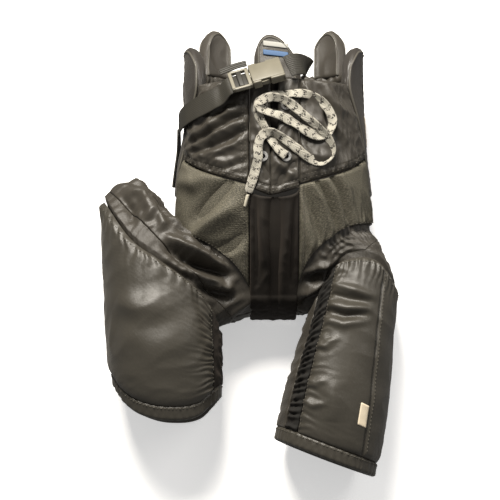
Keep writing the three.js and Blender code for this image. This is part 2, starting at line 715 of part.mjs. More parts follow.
const tipWay = new THREE.Vector3(-4, -15, -6).normalize();
const aglet = new THREE.CylinderGeometry(AGLET_RADIUS, AGLET_RADIUS, AGLET_LENGTH, 10);
aglet.applyQuaternion(new THREE.Quaternion().setFromUnitVectors(new THREE.Vector3(0, 1, 0), tipWay));
aglet.translate(...laceLine.getPoint(1).addScaledVector(tipWay, FIT + LACE_CORE / 2 + AGLET_LENGTH / 2));
add('lace_aglet', merged(aglet), ACETAL);

// The origin is the middle of the underside, with the free lace and its tip left out.
const whole = new THREE.Box3();
pants.children.filter((mesh) => !mesh.name.startsWith('lace')).forEach((mesh) => whole.expandByObject(mesh));
const middle = whole.getCenter(new THREE.Vector3());
pants.position.set(-middle.x, -middle.y, -whole.min.z);
pants.updateMatrixWorld(true);

export default pants;
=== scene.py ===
import bmesh
import bpy
import math
import random
from mathutils import Matrix, Vector, noise


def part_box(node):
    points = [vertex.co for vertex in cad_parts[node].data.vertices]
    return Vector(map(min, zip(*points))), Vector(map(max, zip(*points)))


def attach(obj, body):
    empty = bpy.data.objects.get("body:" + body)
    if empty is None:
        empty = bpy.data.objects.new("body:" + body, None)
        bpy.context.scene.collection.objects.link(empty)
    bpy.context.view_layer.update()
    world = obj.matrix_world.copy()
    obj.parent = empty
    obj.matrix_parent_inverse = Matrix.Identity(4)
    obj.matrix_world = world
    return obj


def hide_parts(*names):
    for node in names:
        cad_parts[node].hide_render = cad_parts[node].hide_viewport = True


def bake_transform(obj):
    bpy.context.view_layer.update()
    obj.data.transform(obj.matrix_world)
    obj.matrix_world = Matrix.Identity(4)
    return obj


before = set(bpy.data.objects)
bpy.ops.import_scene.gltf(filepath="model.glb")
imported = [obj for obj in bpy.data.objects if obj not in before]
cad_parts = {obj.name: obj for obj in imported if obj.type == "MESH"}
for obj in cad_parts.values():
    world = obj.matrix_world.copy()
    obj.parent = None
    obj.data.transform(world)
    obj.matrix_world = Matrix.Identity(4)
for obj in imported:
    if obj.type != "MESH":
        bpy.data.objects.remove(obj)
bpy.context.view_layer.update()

# ---------------------------------------------------------------- studio
# A pale floor under one large soft lamp past the waist and a weaker one at the side, and a camera
# that looks almost straight down on the pants. The floor glows a little and lights nothing. Places
# are drawn from the middle of the crotch line, and ORIGIN carries them into the frame.
pad_low, pad_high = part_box("tailbone_pad")
TRUNK_MIDDLE = 0.027
BACK_TOP = 0.212
SEAM = 0.0009
ORIGIN = Vector(((pad_low[0] + pad_high[0]) / 2 - TRUNK_MIDDLE,
                 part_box("seat_cover")[1][1] + SEAM / 2 - BACK_TOP, 0))

CAMERA_DISTANCE = 1.7
CAMERA_ELEVATION = math.radians(82)
VIEW_WIDTH = 0.57
SENSOR = 36
aim = ORIGIN + Vector((0, 0, 0.08))
back = Vector((0, -math.cos(CAMERA_ELEVATION), math.sin(CAMERA_ELEVATION)))
camera = bpy.data.objects.new("camera", bpy.data.cameras.new("camera"))
camera.data.lens = SENSOR * CAMERA_DISTANCE / VIEW_WIDTH
camera.data.sensor_width = SENSOR
camera.location = aim + back * CAMERA_DISTANCE
camera.rotation_mode = "QUATERNION"
camera.rotation_quaternion = (-back).to_track_quat("-Z", "Y")
bpy.context.collection.objects.link(camera)
bpy.context.scene.camera = camera


def lamp(name, place, size, power, colour):
    light = bpy.data.lights.new(name, "AREA")
    light.size = size
    light.energy = power
    light.color = colour
    obj = bpy.data.objects.new(name, light)
    obj.location = place
    obj.rotation_mode = "QUATERNION"
    obj.rotation_quaternion = (aim - Vector(place)).to_track_quat("-Z", "Y")
    bpy.context.collection.objects.link(obj)


lamp("waist_lamp", place=(-0.30, 1.30, 1.35), size=0.7, power=80, colour=(1, 0.95, 0.87))
lamp("side_lamp", place=(1.3, 0.9, 1.1), size=0.8, power=9, colour=(1, 0.97, 0.93))
world = bpy.data.worlds.new("room")
bpy.context.scene.world = world
world.use_nodes = True
world.node_tree.nodes["Background"].inputs["Color"].default_value = (1, 0.98, 0.95, 1)
world.node_tree.nodes["Background"].inputs["Strength"].default_value = 0.24

floor_mesh = bmesh.new()
bmesh.ops.create_grid(floor_mesh, x_segments=1, y_segments=1, size=4)
floor = bpy.data.objects.new("floor", bpy.data.meshes.new("floor"))
floor_mesh.to_mesh(floor.data)
floor_mesh.free()
floor.location.z = -0.0006
floor_finish = bpy.data.materials.new("floor")
floor_finish.use_nodes = True
floor_finish.node_tree.nodes["Principled BSDF"].inputs["Base Color"].default_value = (0.97, 0.97, 0.97, 1)
floor_finish.node_tree.nodes["Principled BSDF"].inputs["Roughness"].default_value = 0.9
floor_finish.node_tree.nodes["Principled BSDF"].inputs["Emission Color"].default_value = (1, 1, 1, 1)
floor_finish.node_tree.nodes["Principled BSDF"].inputs["Emission Strength"].default_value = 0.45
floor.visible_diffuse = False
floor.visible_glossy = False
floor.data.materials.append(floor_finish)
bpy.context.scene.view_settings.view_transform = "Standard"
bpy.context.collection.objects.link(floor)


# ---------------------------------------------------------------- finishes
# Every finish is a node tree built by sums on its sockets. Cloth reads its own map, which is in
# metres along the piece, so that a weave follows the cloth.
class Value:
    """One socket of a finish."""

    def __init__(self, finish, socket):
        self.finish = finish
        self.socket = socket

    def sum(self, operation, other, swap=False):
        first, second = (other, self) if swap else (self, other)
        return self.finish.node("ShaderNodeMath", {"operation": operation}, {0: first, 1: second})

    def __add__(self, other):
        return self.sum("ADD", other)

    def __radd__(self, other):
        return self.sum("ADD", other, True)

    def __sub__(self, other):
        return self.sum("SUBTRACT", other)

    def __rsub__(self, other):
        return self.sum("SUBTRACT", other, True)

    def __mul__(self, other):
        return self.sum("MULTIPLY", other)

    def __rmul__(self, other):
        return self.sum("MULTIPLY", other, True)

    def __gt__(self, other):
        return self.sum("GREATER_THAN", other)

    def power(self, other):
        return self.sum("POWER", other)

    def sine(self):
        return self.finish.node("ShaderNodeMath", {"operation": "SINE"}, {0: self})


class Finish:
    """A material and its principled shader."""

    def __init__(self, name):
        self.material = bpy.data.materials.new(name)
        self.material.use_nodes = True
        self.tree = self.material.node_tree
        self.shader = self.tree.nodes["Principled BSDF"]

    def node(self, kind, settings, inputs, output=0):
        made = self.tree.nodes.new(kind)
        for key, value in settings.items():
            if key == "stops":
                for stop, (place, colour) in zip(made.color_ramp.elements, value):
                    stop.position = place
                    stop.color = colour
            else:
                setattr(made, key, value)
        for key, value in inputs.items():
            self.feed(made.inputs[key], value)
        return Value(self, made.outputs[output])

    def feed(self, socket, value):
        if isinstance(value, Value):
            self.tree.links.new(value.socket, socket)
        else:
            socket.default_value = value

    def set(self, **inputs):
        for key, value in inputs.items():
            self.feed(self.shader.inputs[key.replace("_", " ")], value)

    def place(self, mapped=True):
        return self.node("ShaderNodeTexCoord", {}, {}, "UV" if mapped else "Object")

    def stretched(self, vector, x, y, z=1):
        return self.node("ShaderNodeMapping", {}, {"Vector": vector, "Scale": (x, y, z)})

    def noise(self, vector, scale, detail=2, rough=0.5):
        return self.node("ShaderNodeTexNoise", {},
                         {"Vector": vector, "Scale": scale, "Detail": detail, "Roughness": rough})

    def mix(self, factor, first, second):
        return self.node("ShaderNodeMix", {"data_type": "RGBA"}, {0: factor, 6: first, 7: second}, 2)

    def split(self, vector):
        made = self.node("ShaderNodeSeparateXYZ", {}, {"Vector": vector})
        node = made.socket.node
        return [Value(self, node.outputs[i]) for i in range(3)]

    def bump(self, height, distance, strength=1.0, normal=None):
        inputs = {"Height": height, "Distance": distance, "Strength": strength}
        if normal:
            inputs["Normal"] = normal
        return self.node("ShaderNodeBump", {}, inputs)


def woven(finish, place, threads, depth):
    """Plain weave of so many threads a metre, as a height."""
    x, y, _ = finish.split(place)
    over = (x * (threads * math.pi)).sine() * (y * (threads * math.pi)).sine()
    return finish.bump(over, depth, 0.5)


def nylon(name, dark, light, rough=0.42, crumple=0.0007, weave=1500):
    finish = Finish(name)
    place = finish.place()
    cloud = finish.noise(place, 14, 3)
    grain = finish.noise(place, 420, 2)
    finish.set(Base_Color=finish.mix(cloud * 0.75 + grain * 0.3, dark, light),
               Roughness=cloud * 0.16 + grain * 0.1 + (rough - 0.12))
    finish.shader.inputs["Sheen Weight"].default_value = 0.06
    finish.shader.inputs["Sheen Roughness"].default_value = 0.4
    finish.shader.inputs["Sheen Tint"].default_value = (1, 0.93, 0.82, 1)
    fine = woven(finish, place, threads=weave, depth=0.00012)
    soft = finish.bump(finish.noise(place, 75, 4, 0.6), crumple, 0.6, fine)
    finish.set(Normal=soft)
    return finish.material


NYLON = nylon("shell_nylon", dark=(0.026, 0.023, 0.018, 1), light=(0.054, 0.047, 0.037, 1), rough=0.40)


# ---------------------------------------------------------------- waist lace
# One flat braided lace of pale cotton with black flecks. It comes out of an eyelet, bunches under
# the buckle, runs out and back in two loops and ends in a tip down the fly.
LACE_WIDTH = 0.0108
LACE_THICKNESS = 0.0015
LACE_ROUTE = [ORIGIN + Vector(p) / 1000 for p in (
    (40, 96, 146), (31, 103, 148), (23, 115, 149), (15, 129, 151), (9, 143, 152), (10, 155, 153),
    (20, 161, 153), (33, 163, 153), (47, 165, 152), (62, 165, 150), (76, 160, 146), (87, 150, 141),
    (92, 137, 138), (88, 125, 139), (76, 119, 143), (62, 124, 147), (49, 132, 150), (35, 139, 153),
    (20, 143, 157), (9, 149, 160), (14, 156, 161), (26, 159, 160), (38, 156, 159), (49, 149, 157),
    (61, 139, 154), (75, 128, 149), (88, 115, 142), (91, 101, 136), (80, 91, 137), (66, 94, 142),
    (52, 104, 146), (38, 114, 150), (24, 121, 154), (13, 117, 152), (9, 106, 149), (9, 94, 147),
    (6, 81, 143), (2, 68, 140), (-2, 56, 137))]
UP = Vector((0, 0, 1))


def spline(points, t):
    """A point on the smooth line through the points, with t from 0 to 1."""
    last = len(points) - 1
    i = min(int(t * last), last - 1)
    f = t * last - i
    a, b, c, d = (points[max(i - 1, 0)], points[i], points[i + 1], points[min(i + 2, last)])
    square, cube = 2 * a - 5 * b + 4 * c - d, 3 * b - a - 3 * c + d
    return 0.5 * (2 * b + (c - a) * f + square * f ** 2 + cube * f ** 3)


def heading(points, t):
    return (spline(points, min(t + 0.002, 1)) - spline(points, max(t - 0.002, 0))).normalized()


def bend_sheet(name, material, columns, rows, size, place, thickness=0.0):
    """A flat grid bent to place(u, v), with a map in metres, and a wall behind it if it has one."""
    mesh = bmesh.new()
    bmesh.ops.create_grid(mesh, x_segments=columns, y_segments=rows, size=1)
    chart = mesh.loops.layers.uv.new("cloth")
    for face in mesh.faces:
        for loop in face.loops:
            loop[chart].uv = ((loop.vert.co.x + 1) / 2 * size[0], (loop.vert.co.y + 1) / 2 * size[1])
    for vert in mesh.verts:
        vert.co = place((vert.co.x + 1) / 2, (vert.co.y + 1) / 2)
    if thickness:
        mesh.normal_update()
        bmesh.ops.solidify(mesh, geom=mesh.faces[:], thickness=thickness)
        bmesh.ops.recalc_face_normals(mesh, faces=mesh.faces[:])
    return shown(name, mesh, material)


def shown(name, mesh, material, smooth=True):
    data = bpy.data.meshes.new(name)
    mesh.to_mesh(data)
    mesh.free()
    data.polygons.foreach_set("use_smooth", [smooth] * len(data.polygons))
    obj = bpy.data.objects.new(name, data)
    bpy.context.collection.objects.link(obj)
    data.materials.append(material)
    return obj


def braid():
    finish = Finish("flat_lace")
    place = finish.place()
    along, across, _ = finish.split(place)
    bent = finish.node("ShaderNodeMath", {"operation": "ABSOLUTE"}, {0: across - LACE_WIDTH / 2})
    chevron = (along * 3600 + bent * 2600).sine()
    fleck = finish.noise(finish.stretched(place, 330, 1100), 1.0, 1)
    row = (along * 640 + bent * 460).sine()
    dark = (fleck > 0.50) * (row > 0.25)
    shade = finish.noise(place, 160, 2)
    cotton = finish.mix(chevron * 0.3 + shade * 0.6, (0.40, 0.375, 0.31, 1), (0.66, 0.63, 0.54, 1))
    finish.set(Base_Color=finish.mix(dark, cotton, (0.035, 0.03, 0.026, 1)), Roughness=0.8)
    finish.set(Normal=finish.bump(chevron + fleck * 0.5, 0.0004, 0.8))
    return finish.material


def lace_point(u, v):
    centre = spline(LACE_ROUTE, u)
    ahead = heading(LACE_ROUTE, u)
    lean = 1.5 * noise.noise(Vector((u * 21, 3.7, 0)))
    out = (UP - ahead * UP.dot(ahead)).normalized()
    out = Matrix.Rotation(lean, 3, ahead) @ out
    side = out.cross(ahead)
    turn = 2 * math.pi * v
    flat = math.copysign(min(abs(math.sin(turn)) * 2.5, 1), math.sin(turn))
    width = LACE_WIDTH * (1 - 0.18 * abs(noise.noise(Vector((u * 23, 9.1, 0)))))
    return centre + side * (math.cos(turn) * width / 2) + out * (flat * LACE_THICKNESS / 2)


lace_length = sum((spline(LACE_ROUTE, (i + 1) / 600) - spline(LACE_ROUTE, i / 600)).length
                  for i in range(600))
lace = bend_sheet("waist_lace", braid(), columns=420, rows=16, size=(lace_length, LACE_WIDTH * 2),
                  place=lace_point)
closed = bmesh.new()
closed.from_mesh(lace.data)
bmesh.ops.remove_doubles(closed, verts=closed.verts[:], dist=1e-6)
bmesh.ops.holes_fill(closed, edges=[e for e in closed.edges if e.is_boundary], sides=40)
bmesh.ops.recalc_face_normals(closed, faces=closed.faces[:])
closed.to_mesh(lace.data)
closed.free()
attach(lace, "hip")
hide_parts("lace")

# The lace's tip is a short sleeve of clear plastic, pinched on to the braid.
TIP_LENGTH = 0.014
TIP_RADIUS = 0.002
tip_way = Vector((-4, -15, -6)).normalized()
tip_mesh = bmesh.new()
bmesh.ops.create_cone(tip_mesh, cap_ends=True, segments=20, radius1=TIP_RADIUS, radius2=TIP_RADIUS * 0.8,
                      depth=TIP_LENGTH)
bmesh.ops.bevel(tip_mesh, geom=[e for e in tip_mesh.edges if abs(e.verts[0].co.z - e.verts[1].co.z) < 1e-6],
                offset=0.0005, segments=3, profile=0.5, affect="EDGES", material=-1)
tip_turn = tip_way.to_track_quat("Z", "Y").to_matrix().to_4x4()
tip_place = Matrix.Translation(LACE_ROUTE[-1] + tip_way * (0.0019 + TIP_LENGTH / 2))
bmesh.ops.transform(tip_mesh, matrix=tip_place @ tip_turn, verts=tip_mesh.verts[:])
tip_finish = Finish("clear_tip")
tip_streak = tip_finish.noise(tip_finish.stretched(tip_finish.place(False), 60, 9, 60), 9)
tip_finish.set(Base_Color=tip_finish.mix(tip_streak, (0.5, 0.46, 0.36, 1), (0.62, 0.58, 0.47, 1)),
               Roughness=0.2)
tip = shown("lace_tip", tip_mesh, tip_finish.material)
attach(tip, "hip")
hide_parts("lace_aglet")
[spline(LACE_ROUTE, i / 300) for i in range(301)]

# ---------------------------------------------------------------- trunk shell
# The trunk is sewn from panels that lie on one form: flat where it rests, between an ellipse and
# a box in section. Angle 0 is the middle of the front, and 180 the middle of the back.
CROTCH = -0.074
FRONT_TOP = 0.184
ROUNDNESS = 2.2
SETTLE = 0.006
TRUNK_WIDTHS = [(CROTCH, 0.113), (0.060, 0.113), (0.130, 0.105), (FRONT_TOP, 0.103), (0.270, 0.103)]
TRUNK_HEIGHTS = [(CROTCH, 0.064), (-0.040, 0.088), (0, 0.114), (0.060, 0.136), (0.130, 0.147),
                 (FRONT_TOP, 0.150), (0.270, 0.150)]


def along(stations, place):
    """The value at a place, on a smooth line through (place, value) stations in rising order."""
    last = len(stations) - 1
    i = 0
    while i < last - 1 and place > stations[i + 1][0]:
        i += 1

    def slope(a, b):
        return (stations[b][1] - stations[a][1]) / (stations[b][0] - stations[a][0])

    (x0, y0), (x1, y1) = stations[i], stations[i + 1]
    t = min(max((place - x0) / (x1 - x0), 0), 1)
    m0 = slope(max(i - 1, 0), i + 1) * (x1 - x0)
    m1 = slope(i, min(i + 2, last)) * (x1 - x0)
    return ((2 * t ** 3 - 3 * t ** 2 + 1) * y0 + (t ** 3 - 2 * t ** 2 + t) * m0
            + (3 * t ** 2 - 2 * t ** 3) * y1 + (t ** 3 - t ** 2) * m1)


def squared(value):
    return math.copysign(abs(value) ** (2 / ROUNDNESS), value)


def mix(a, b, t):
    return a + (b - a) * t


FLOOR_GAP = 0.0002


def trunk(angle, y, depth):
    turn = math.radians(angle)
    height = along(TRUNK_HEIGHTS, y)
    middle = height / 2 - SETTLE
    x = TRUNK_MIDDLE + (along(TRUNK_WIDTHS, y) - depth) * squared(math.sin(turn))
    z = middle + (height - depth - middle) * squared(math.cos(turn))
    return ORIGIN + Vector((x, y, max(z, depth, FLOOR_GAP)))


def front_angle(out, y):
    share = (abs(out) / along(TRUNK_WIDTHS, y)) ** (ROUNDNESS / 2)
    return math.degrees(math.asin(math.copysign(share, out)))


def crown(distance, roll):
    """How far a padded face has risen at a distance from its seam: a quarter circle, then flat."""
    t = min(max(distance / roll, 0), 1)
    return math.sqrt(1 - (1 - t) ** 2)


OUTER_FACES = {}
SEAM_HOLD = 0.35


def quilted(name, material, place, width, length, rise, sink=0.0015, roll=0.007, pitch=0.002, edge=0.0,
            folds=None):
    """A closed padded panel, thin at its sewn edges. place(u, v, depth) lies on the form, and
    folds(point, across, lengthwise, edge distance) is added to its outer face."""
    def skin(u, v, sign=1, height=rise):
        across, lengthwise = min(u, 1 - u) * width, min(v, 1 - v) * length
        depth = edge - sign * height * crown(across, roll) * crown(lengthwise, roll)
        if folds and sign > 0:
            near = min(across, lengthwise)
            held = min(near / (roll * SEAM_HOLD), 1)
            depth -= folds(place(u, v, 0) - ORIGIN, u * width, v * length, near) * held
        return place(u, v, depth)

    OUTER_FACES[name] = skin
    mesh = bmesh.new()
    columns, rows = max(4, round(width / pitch)), max(3, round(length / pitch))
    bmesh.ops.create_grid(mesh, x_segments=columns, y_segments=rows, size=1)
    chart = mesh.loops.layers.uv.new("cloth")
    for face in mesh.faces:
        for loop in face.loops:
            loop[chart].uv = ((loop.vert.co.x + 1) / 2 * width, (loop.vert.co.y + 1) / 2 * length)
    outer = mesh.verts[:]
    inner = [g for g in bmesh.ops.duplicate(mesh,
                                            geom=mesh.verts[:] + mesh.edges[:] + mesh.faces[:])["geom"]
             if isinstance(g, bmesh.types.BMVert)]
    for verts, sign, height in ((outer, 1, rise), (inner, -1, sink)):
        for vert in verts:
            vert.co = skin((vert.co.x + 1) / 2, (vert.co.y + 1) / 2, sign, height)
    bmesh.ops.remove_doubles(mesh, verts=mesh.verts[:], dist=1e-6)
    bmesh.ops.recalc_face_normals(mesh, faces=mesh.faces[:])
    return shown(name, mesh, material)


def crease(points, width, height):
    """A fold drawn on the front: a ridge, or a valley if its height is negative."""
    line = [Vector(p) / 1000 for p in points]
    reach = 3 * width

    def at(point):
        best = None
        total = 0
        for a, b in zip(line, line[1:]):
            step = b - a
            t = min(max((point.xy - a).dot(step) / step.length_squared, 0), 1)
            gap = (point.xy - a - step * t).length
            if gap < reach and (best is None or gap < best[0]):
                best = (gap, total + t)
            total += 1
        if best is None:
            return 0
        taper = math.sin(math.pi * min(max(best[1] / total * 0.92 + 0.04, 0), 1)) ** 0.5
        return height * taper * math.exp(-(best[0] / width) ** 2)

    return at


def rumple(point, grain, size, stretch, seed):
    """Ridged noise whose ridges run along the grain, from about -1 to 1."""
    run = point.dot(grain)
    apart = Vector((seed, seed * 1.7, seed * 0.6))
    spot = (point - grain * run) / size + grain * (run / size / stretch) + apart
    return 1 - 3 * abs(noise.noise(spot))


def pucker(run, gap, spacing, reach, seed):
    """Short gathers square to a seam."""
    wobble = 0.8 * noise.noise(Vector((run / spacing * 0.6, gap / reach * 0.5, seed)))
    return math.cos(2 * math.pi * (run / spacing + wobble)) * math.exp(-gap / reach)


HIP_PAD_FOOT = 0.062
HIP_PAD_TOP = 0.236
HIP_PAD_BACK = 108
FLY_HALF_WIDTH = 0.028
APRON_HEM = 0.062
HIP_EDGE = [(HIP_PAD_FOOT, 80), (0.125, 72), (0.150, 64), (FRONT_TOP, 54), (HIP_PAD_TOP, 60)]
YOKE_SEAM = [(0, 0.066), (0.5, 0.084), (1, 0.104)]
TRUNK_EDGE = {
    "right": [(0, CROTCH), (7, CROTCH + 0.006), (12, -0.044), (21, -0.020), (36, 0), (53, 0.014),
              (90, 0.030)],
    "left": [(0, CROTCH), (7, CROTCH + 0.006), (12, -0.042), (18, -0.014), (37, 0.015), (53, 0.025),
             (90, 0.032)],
}
SIDES = {"right": -1, "left": 1}
SIDE_ANGLE = 88
SEAM_ANGLE = 0.25


def hip_edge(y):
    return along(HIP_EDGE, y)


def fly_edge(y):
    return front_angle(FLY_HALF_WIDTH, y)


def side_edge(y):
    return mix(SIDE_ANGLE, hip_edge(y), min(max((y - 0.034) / 0.026, 0), 1))


def from_middle(angle):
    return min(abs(angle), 180 - abs(angle))


def on_trunk(side, inner, outer, low, high):
    """Where a trunk panel lies: inner and outer are angles by height, low and high are heights by
    the share of the way out. u always runs towards +X."""
    def place(u, v, depth):
        out = u if side > 0 else 1 - u
        y = mix(low(out) + SEAM / 2, high(out) - SEAM / 2, v)
        angle = mix(inner(y) + SEAM_ANGLE, outer(y) - SEAM_ANGLE, out)
        return trunk(side * angle, y, depth)
    return place


def sewn(obj, body, slot, *nodes):
    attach(obj, body)
    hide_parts(*nodes)
    return obj


# Front yokes: satin nylon over thin foam, wrinkled where the belt pulls it together.
YOKE_FOLDS = {
    "right": [crease(((-72, 110), (-46, 118), (-20, 130), (-4, 134)), 0.005, 0.004),
              crease(((-70, 124), (-44, 134), (-22, 148), (-6, 150)), 0.005, 0.0035),
              crease(((-60, 100), (-38, 102), (-16, 110), (-3, 118)), 0.004, 0.003),
              crease(((-44, 94), (-26, 92), (-8, 98)), 0.004, 0.0025),
              crease(((-70, 117), (-44, 126), (-20, 139), (-4, 143)), 0.0035, -0.004),
              crease(((-62, 105), (-40, 110), (-18, 120), (-4, 126)), 0.003, -0.0035),
              crease(((-46, 86), (-26, 84), (-4, 92)), 0.003, -0.002)],
    "left": [crease(((62, 178), (70, 150), (80, 124), (84, 98)), 0.006, 0.003),
             crease(((84, 176), (98, 148), (108, 124)), 0.006, 0.004),
             crease(((60, 104), (76, 96), (94, 100)), 0.005, 0.002),
             crease(((74, 178), (86, 148), (95, 118)), 0.005, -0.004)],
}
YOKE_GRAIN = {"right": Vector((0.92, 0.38, 0)).normalized(), "left": Vector((-0.35, 0.94, 0)).normalized()}
for name, side in SIDES.items():
    def yoke_folds(point, across, lengthwise, near, name=name):
        drawn = sum(fold(point) for fold in YOKE_FOLDS[name])
        rumpled = 0.0020 * rumple(point, YOKE_GRAIN[name], size=0.015, stretch=2.5, seed=4)
        fine = 0.0007 * rumple(point, YOKE_GRAIN[name], size=0.007, stretch=2, seed=9)
        rows = sum(math.exp(-(((gap - row) / 0.0012) ** 2)) for row in (0.0035, 0.0075)
                   for gap in (lengthwise, across if name == "left" else 0.105 - across))
        gathers = 0.0016 * pucker(across, lengthwise, spacing=0.006, reach=0.007, seed=2)
        return drawn * 1.3 + rumpled + fine + gathers - 0.0011 * rows

    place = on_trunk(side, fly_edge, hip_edge, lambda out: along(YOKE_SEAM, out), lambda out: FRONT_TOP)
    yoke = quilted(f"front_yoke_cover_{name}", NYLON, place, width=0.105, length=0.1, rise=0.0035,
                   sink=0.001, roll=0.008, pitch=0.0014, edge=0.003, folds=yoke_folds)
    sewn(yoke, "hip", "shell_nylon", f"front_yoke_{name}")

# Front thigh panels: a coarse speckled cloth that resists scuffing, sewn under the yokes. It hangs
# in soft bands from the belt's pull, and its lower edge is gathered on the left.
def speckled():
    finish = Finish("abrasion_cloth")
    place = finish.place()
    cloud = finish.noise(place, 22, 3)
    nub = finish.noise(place, 560, 3, 0.7)
    worn = finish.mix(cloud, (0.032, 0.029, 0.020, 1), (0.075, 0.068, 0.048, 1))
    finish.set(Base_Color=finish.mix((nub - 0.45) * 3.2, worn, (0.235, 0.213, 0.155, 1)), Roughness=0.7)
    finish.set(Normal=finish.bump(nub, 0.0009, 0.75, woven(finish, place, threads=700, depth=0.0003)))
    return finish.material


ABRASION = speckled()
THIGH_PANEL_FOLDS = {
    "right": [crease(((-66, 8), (-40, 26), (-12, 44)), 0.009, 0.010),
              crease(((-80, 78), (-60, 70), (-40, 78)), 0.009, 0.006),
              crease(((-62, 32), (-42, 52), (-20, 72)), 0.007, -0.010),
              crease(((-46, -8), (-24, 0), (-2, 18)), 0.008, -0.007)],
    "left": [crease(((64, 74), (78, 50), (92, 14)), 0.0045, 0.006),
             crease(((78, 84), (94, 54), (106, 20)), 0.0045, 0.006),
             crease(((92, 94), (108, 62), (118, 28)), 0.004, 0.005),
             crease(((70, 80), (85, 52), (99, 17)), 0.0035, -0.008),
             crease(((85, 90), (101, 58), (113, 24)), 0.0035, -0.008),
             crease(((58, 64), (70, 34), (80, 2)), 0.0035, -0.006),
             crease(((54, 40), (62, 16), (70, -6)), 0.004, 0.0025)],
}
PANEL_GRAIN = {"right": Vector((0.75, 0.66, 0)).normalized(), "left": Vector((0.4, -0.92, 0)).normalized()}
FLY_ANGLE = fly_edge(0)
for name, side in SIDES.items():
    def panel_folds(point, across, lengthwise, near, name=name):
        drawn = sum(fold(point) for fold in THIGH_PANEL_FOLDS[name])
        gathers = 0
        if name == "left":
            gathers = 0.0026 * pucker(across, lengthwise, spacing=0.011, reach=0.02, seed=5)
        return drawn + 0.0008 * rumple(point, PANEL_GRAIN[name], size=0.02, stretch=3, seed=12) + gathers

    place = on_trunk(side, fly_edge, side_edge,
                     lambda out, name=name: along(TRUNK_EDGE[name], mix(FLY_ANGLE, SIDE_ANGLE, out)),
                     lambda out: along(YOKE_SEAM, out))
    panel = quilted(f"front_thigh_cover_{name}", ABRASION, place, width=0.13, length=0.12, rise=0.004,
                    sink=0.001, roll=0.009, pitch=0.0016, edge=0.003,
                    folds=panel_folds)
    sewn(panel, "hip", "abrasion_cloth", f"front_thigh_panel_{name}")

# Side panels: plain nylon between the front and the back, under the hip pads.
for name, side in SIDES.items():
    def side_folds(point, across, lengthwise, near):
        drape = 0.0012 * rumple(point, Vector((0.1, 0.99, 0)), size=0.018, stretch=3, seed=20)
        return drape + 0.0006 * pucker(across, near, spacing=0.01, reach=0.01, seed=7)

    place = on_trunk(side, side_edge, lambda y: HIP_PAD_BACK + 2,
                     lambda out, name=name: along(TRUNK_EDGE[name],
                                                  from_middle(mix(SIDE_ANGLE, HIP_PAD_BACK + 2, out))),
                     lambda out: HIP_PAD_FOOT - 0.001)
    panel = quilted(f"side_cover_{name}", NYLON, place, width=0.05, length=0.05, rise=0.003, sink=0.001,
                    roll=0.006, pitch=0.0018, edge=0.003, folds=side_folds)
    sewn(panel, "hip", "shell_nylon", f"side_panel_{name}")

# Hip pads: tall foam wings in a smooth coated nylon, with a seam down the middle of the face and
# piping round the edge. Their tops stand up past the waist.
SMOOTH_NYLON = nylon("coated_nylon", dark=(0.024, 0.021, 0.018, 1), light=(0.044, 0.039, 0.033, 1),
                     rough=0.36, crumple=0.0004)


def rounded(u, power=3):
    return (1 - abs(2 * u - 1) ** power) ** (1 / power)


def swept(name, material, length, girth, steps, ring, place):
    """A closed bar of so many steps whose skin is place(share along, turn in radians)."""
    def skin(u, v):
        return place(u, 2 * math.pi * v)

    bar = bend_sheet(name, material, columns=steps, rows=ring, size=(length, girth), place=skin)
    mesh = bmesh.new()
    mesh.from_mesh(bar.data)
    bmesh.ops.remove_doubles(mesh, verts=mesh.verts[:], dist=1e-6)
    bmesh.ops.holes_fill(mesh, edges=[e for e in mesh.edges if e.is_boundary], sides=ring + 4)
    bmesh.ops.recalc_face_normals(mesh, faces=mesh.faces[:])
    mesh.to_mesh(bar.data)
    mesh.free()
    bar.data.polygons.foreach_set("use_smooth", [True] * len(bar.data.polygons))
    return bar


def round_bar(name, material, line, radius, steps, ring=10):
    """A cord or a roll of cloth of one radius along line(t)."""
    length = sum((line((i + 1) / 100) - line(i / 100)).length for i in range(100))

    def skin(t, turn):
        ahead = (line(min(t + 0.005, 1)) - line(max(t - 0.005, 0))).normalized()
        side = ahead.cross(UP if abs(ahead.z) < 0.9 else Vector((0, 1, 0))).normalized()
        return line(t) + (side * math.cos(turn) + ahead.cross(side) * math.sin(turn)) * radius

    return swept(name, material, length=length, girth=2 * math.pi * radius, steps=steps, ring=ring,
                 place=skin)


def edge_line(face, foot, inset):
    """Up one side of a padded panel, over its top and down the other, a little in from the edge."""
    def line(t):
        if t < 0.4:
            return face(inset, mix(foot, 1 - inset, t / 0.4))
        if t > 0.6:
            return face(1 - inset, mix(1 - inset, foot, (t - 0.6) / 0.4))
        return face(mix(inset, 1 - inset, (t - 0.4) / 0.2), 1 - inset)
    return line


PIPING = nylon("piping", dark=(0.060, 0.055, 0.045, 1), light=(0.10, 0.092, 0.075, 1), rough=0.4,
               crumple=0.0002)
for name, side in SIDES.items():
    def hip_top(out):
        return mix(FRONT_TOP - 0.006, HIP_PAD_TOP, rounded(out))

    def hip_folds(point, across, lengthwise, near):
        seam = -0.0022 * math.exp(-(((across - 0.036) / 0.0016) ** 2))
        drape = 0.0016 * rumple(point, Vector((0.1, 0.97, 0.1)), size=0.03, stretch=3, seed=31)
        return seam + drape + 0.0005 * pucker(lengthwise, abs(across - 0.036), spacing=0.008, reach=0.005,
                                              seed=3)

    place = on_trunk(side, hip_edge, lambda y: HIP_PAD_BACK, lambda out: HIP_PAD_FOOT, hip_top)
    pad = quilted(f"hip_pad_cover_{name}", SMOOTH_NYLON, place, width=0.075, length=0.17, rise=0.0045,
                  sink=0.0100, roll=0.008, pitch=0.0018, edge=0.0038,
                  folds=hip_folds)
    sewn(pad, "hip", "shell_nylon", f"hip_pad_{name}")
    piping = round_bar(f"hip_piping_{name}", PIPING,
                       edge_line(OUTER_FACES[pad.name], foot=0.04, inset=0.035), radius=0.0013, steps=110)
    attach(piping, "hip")

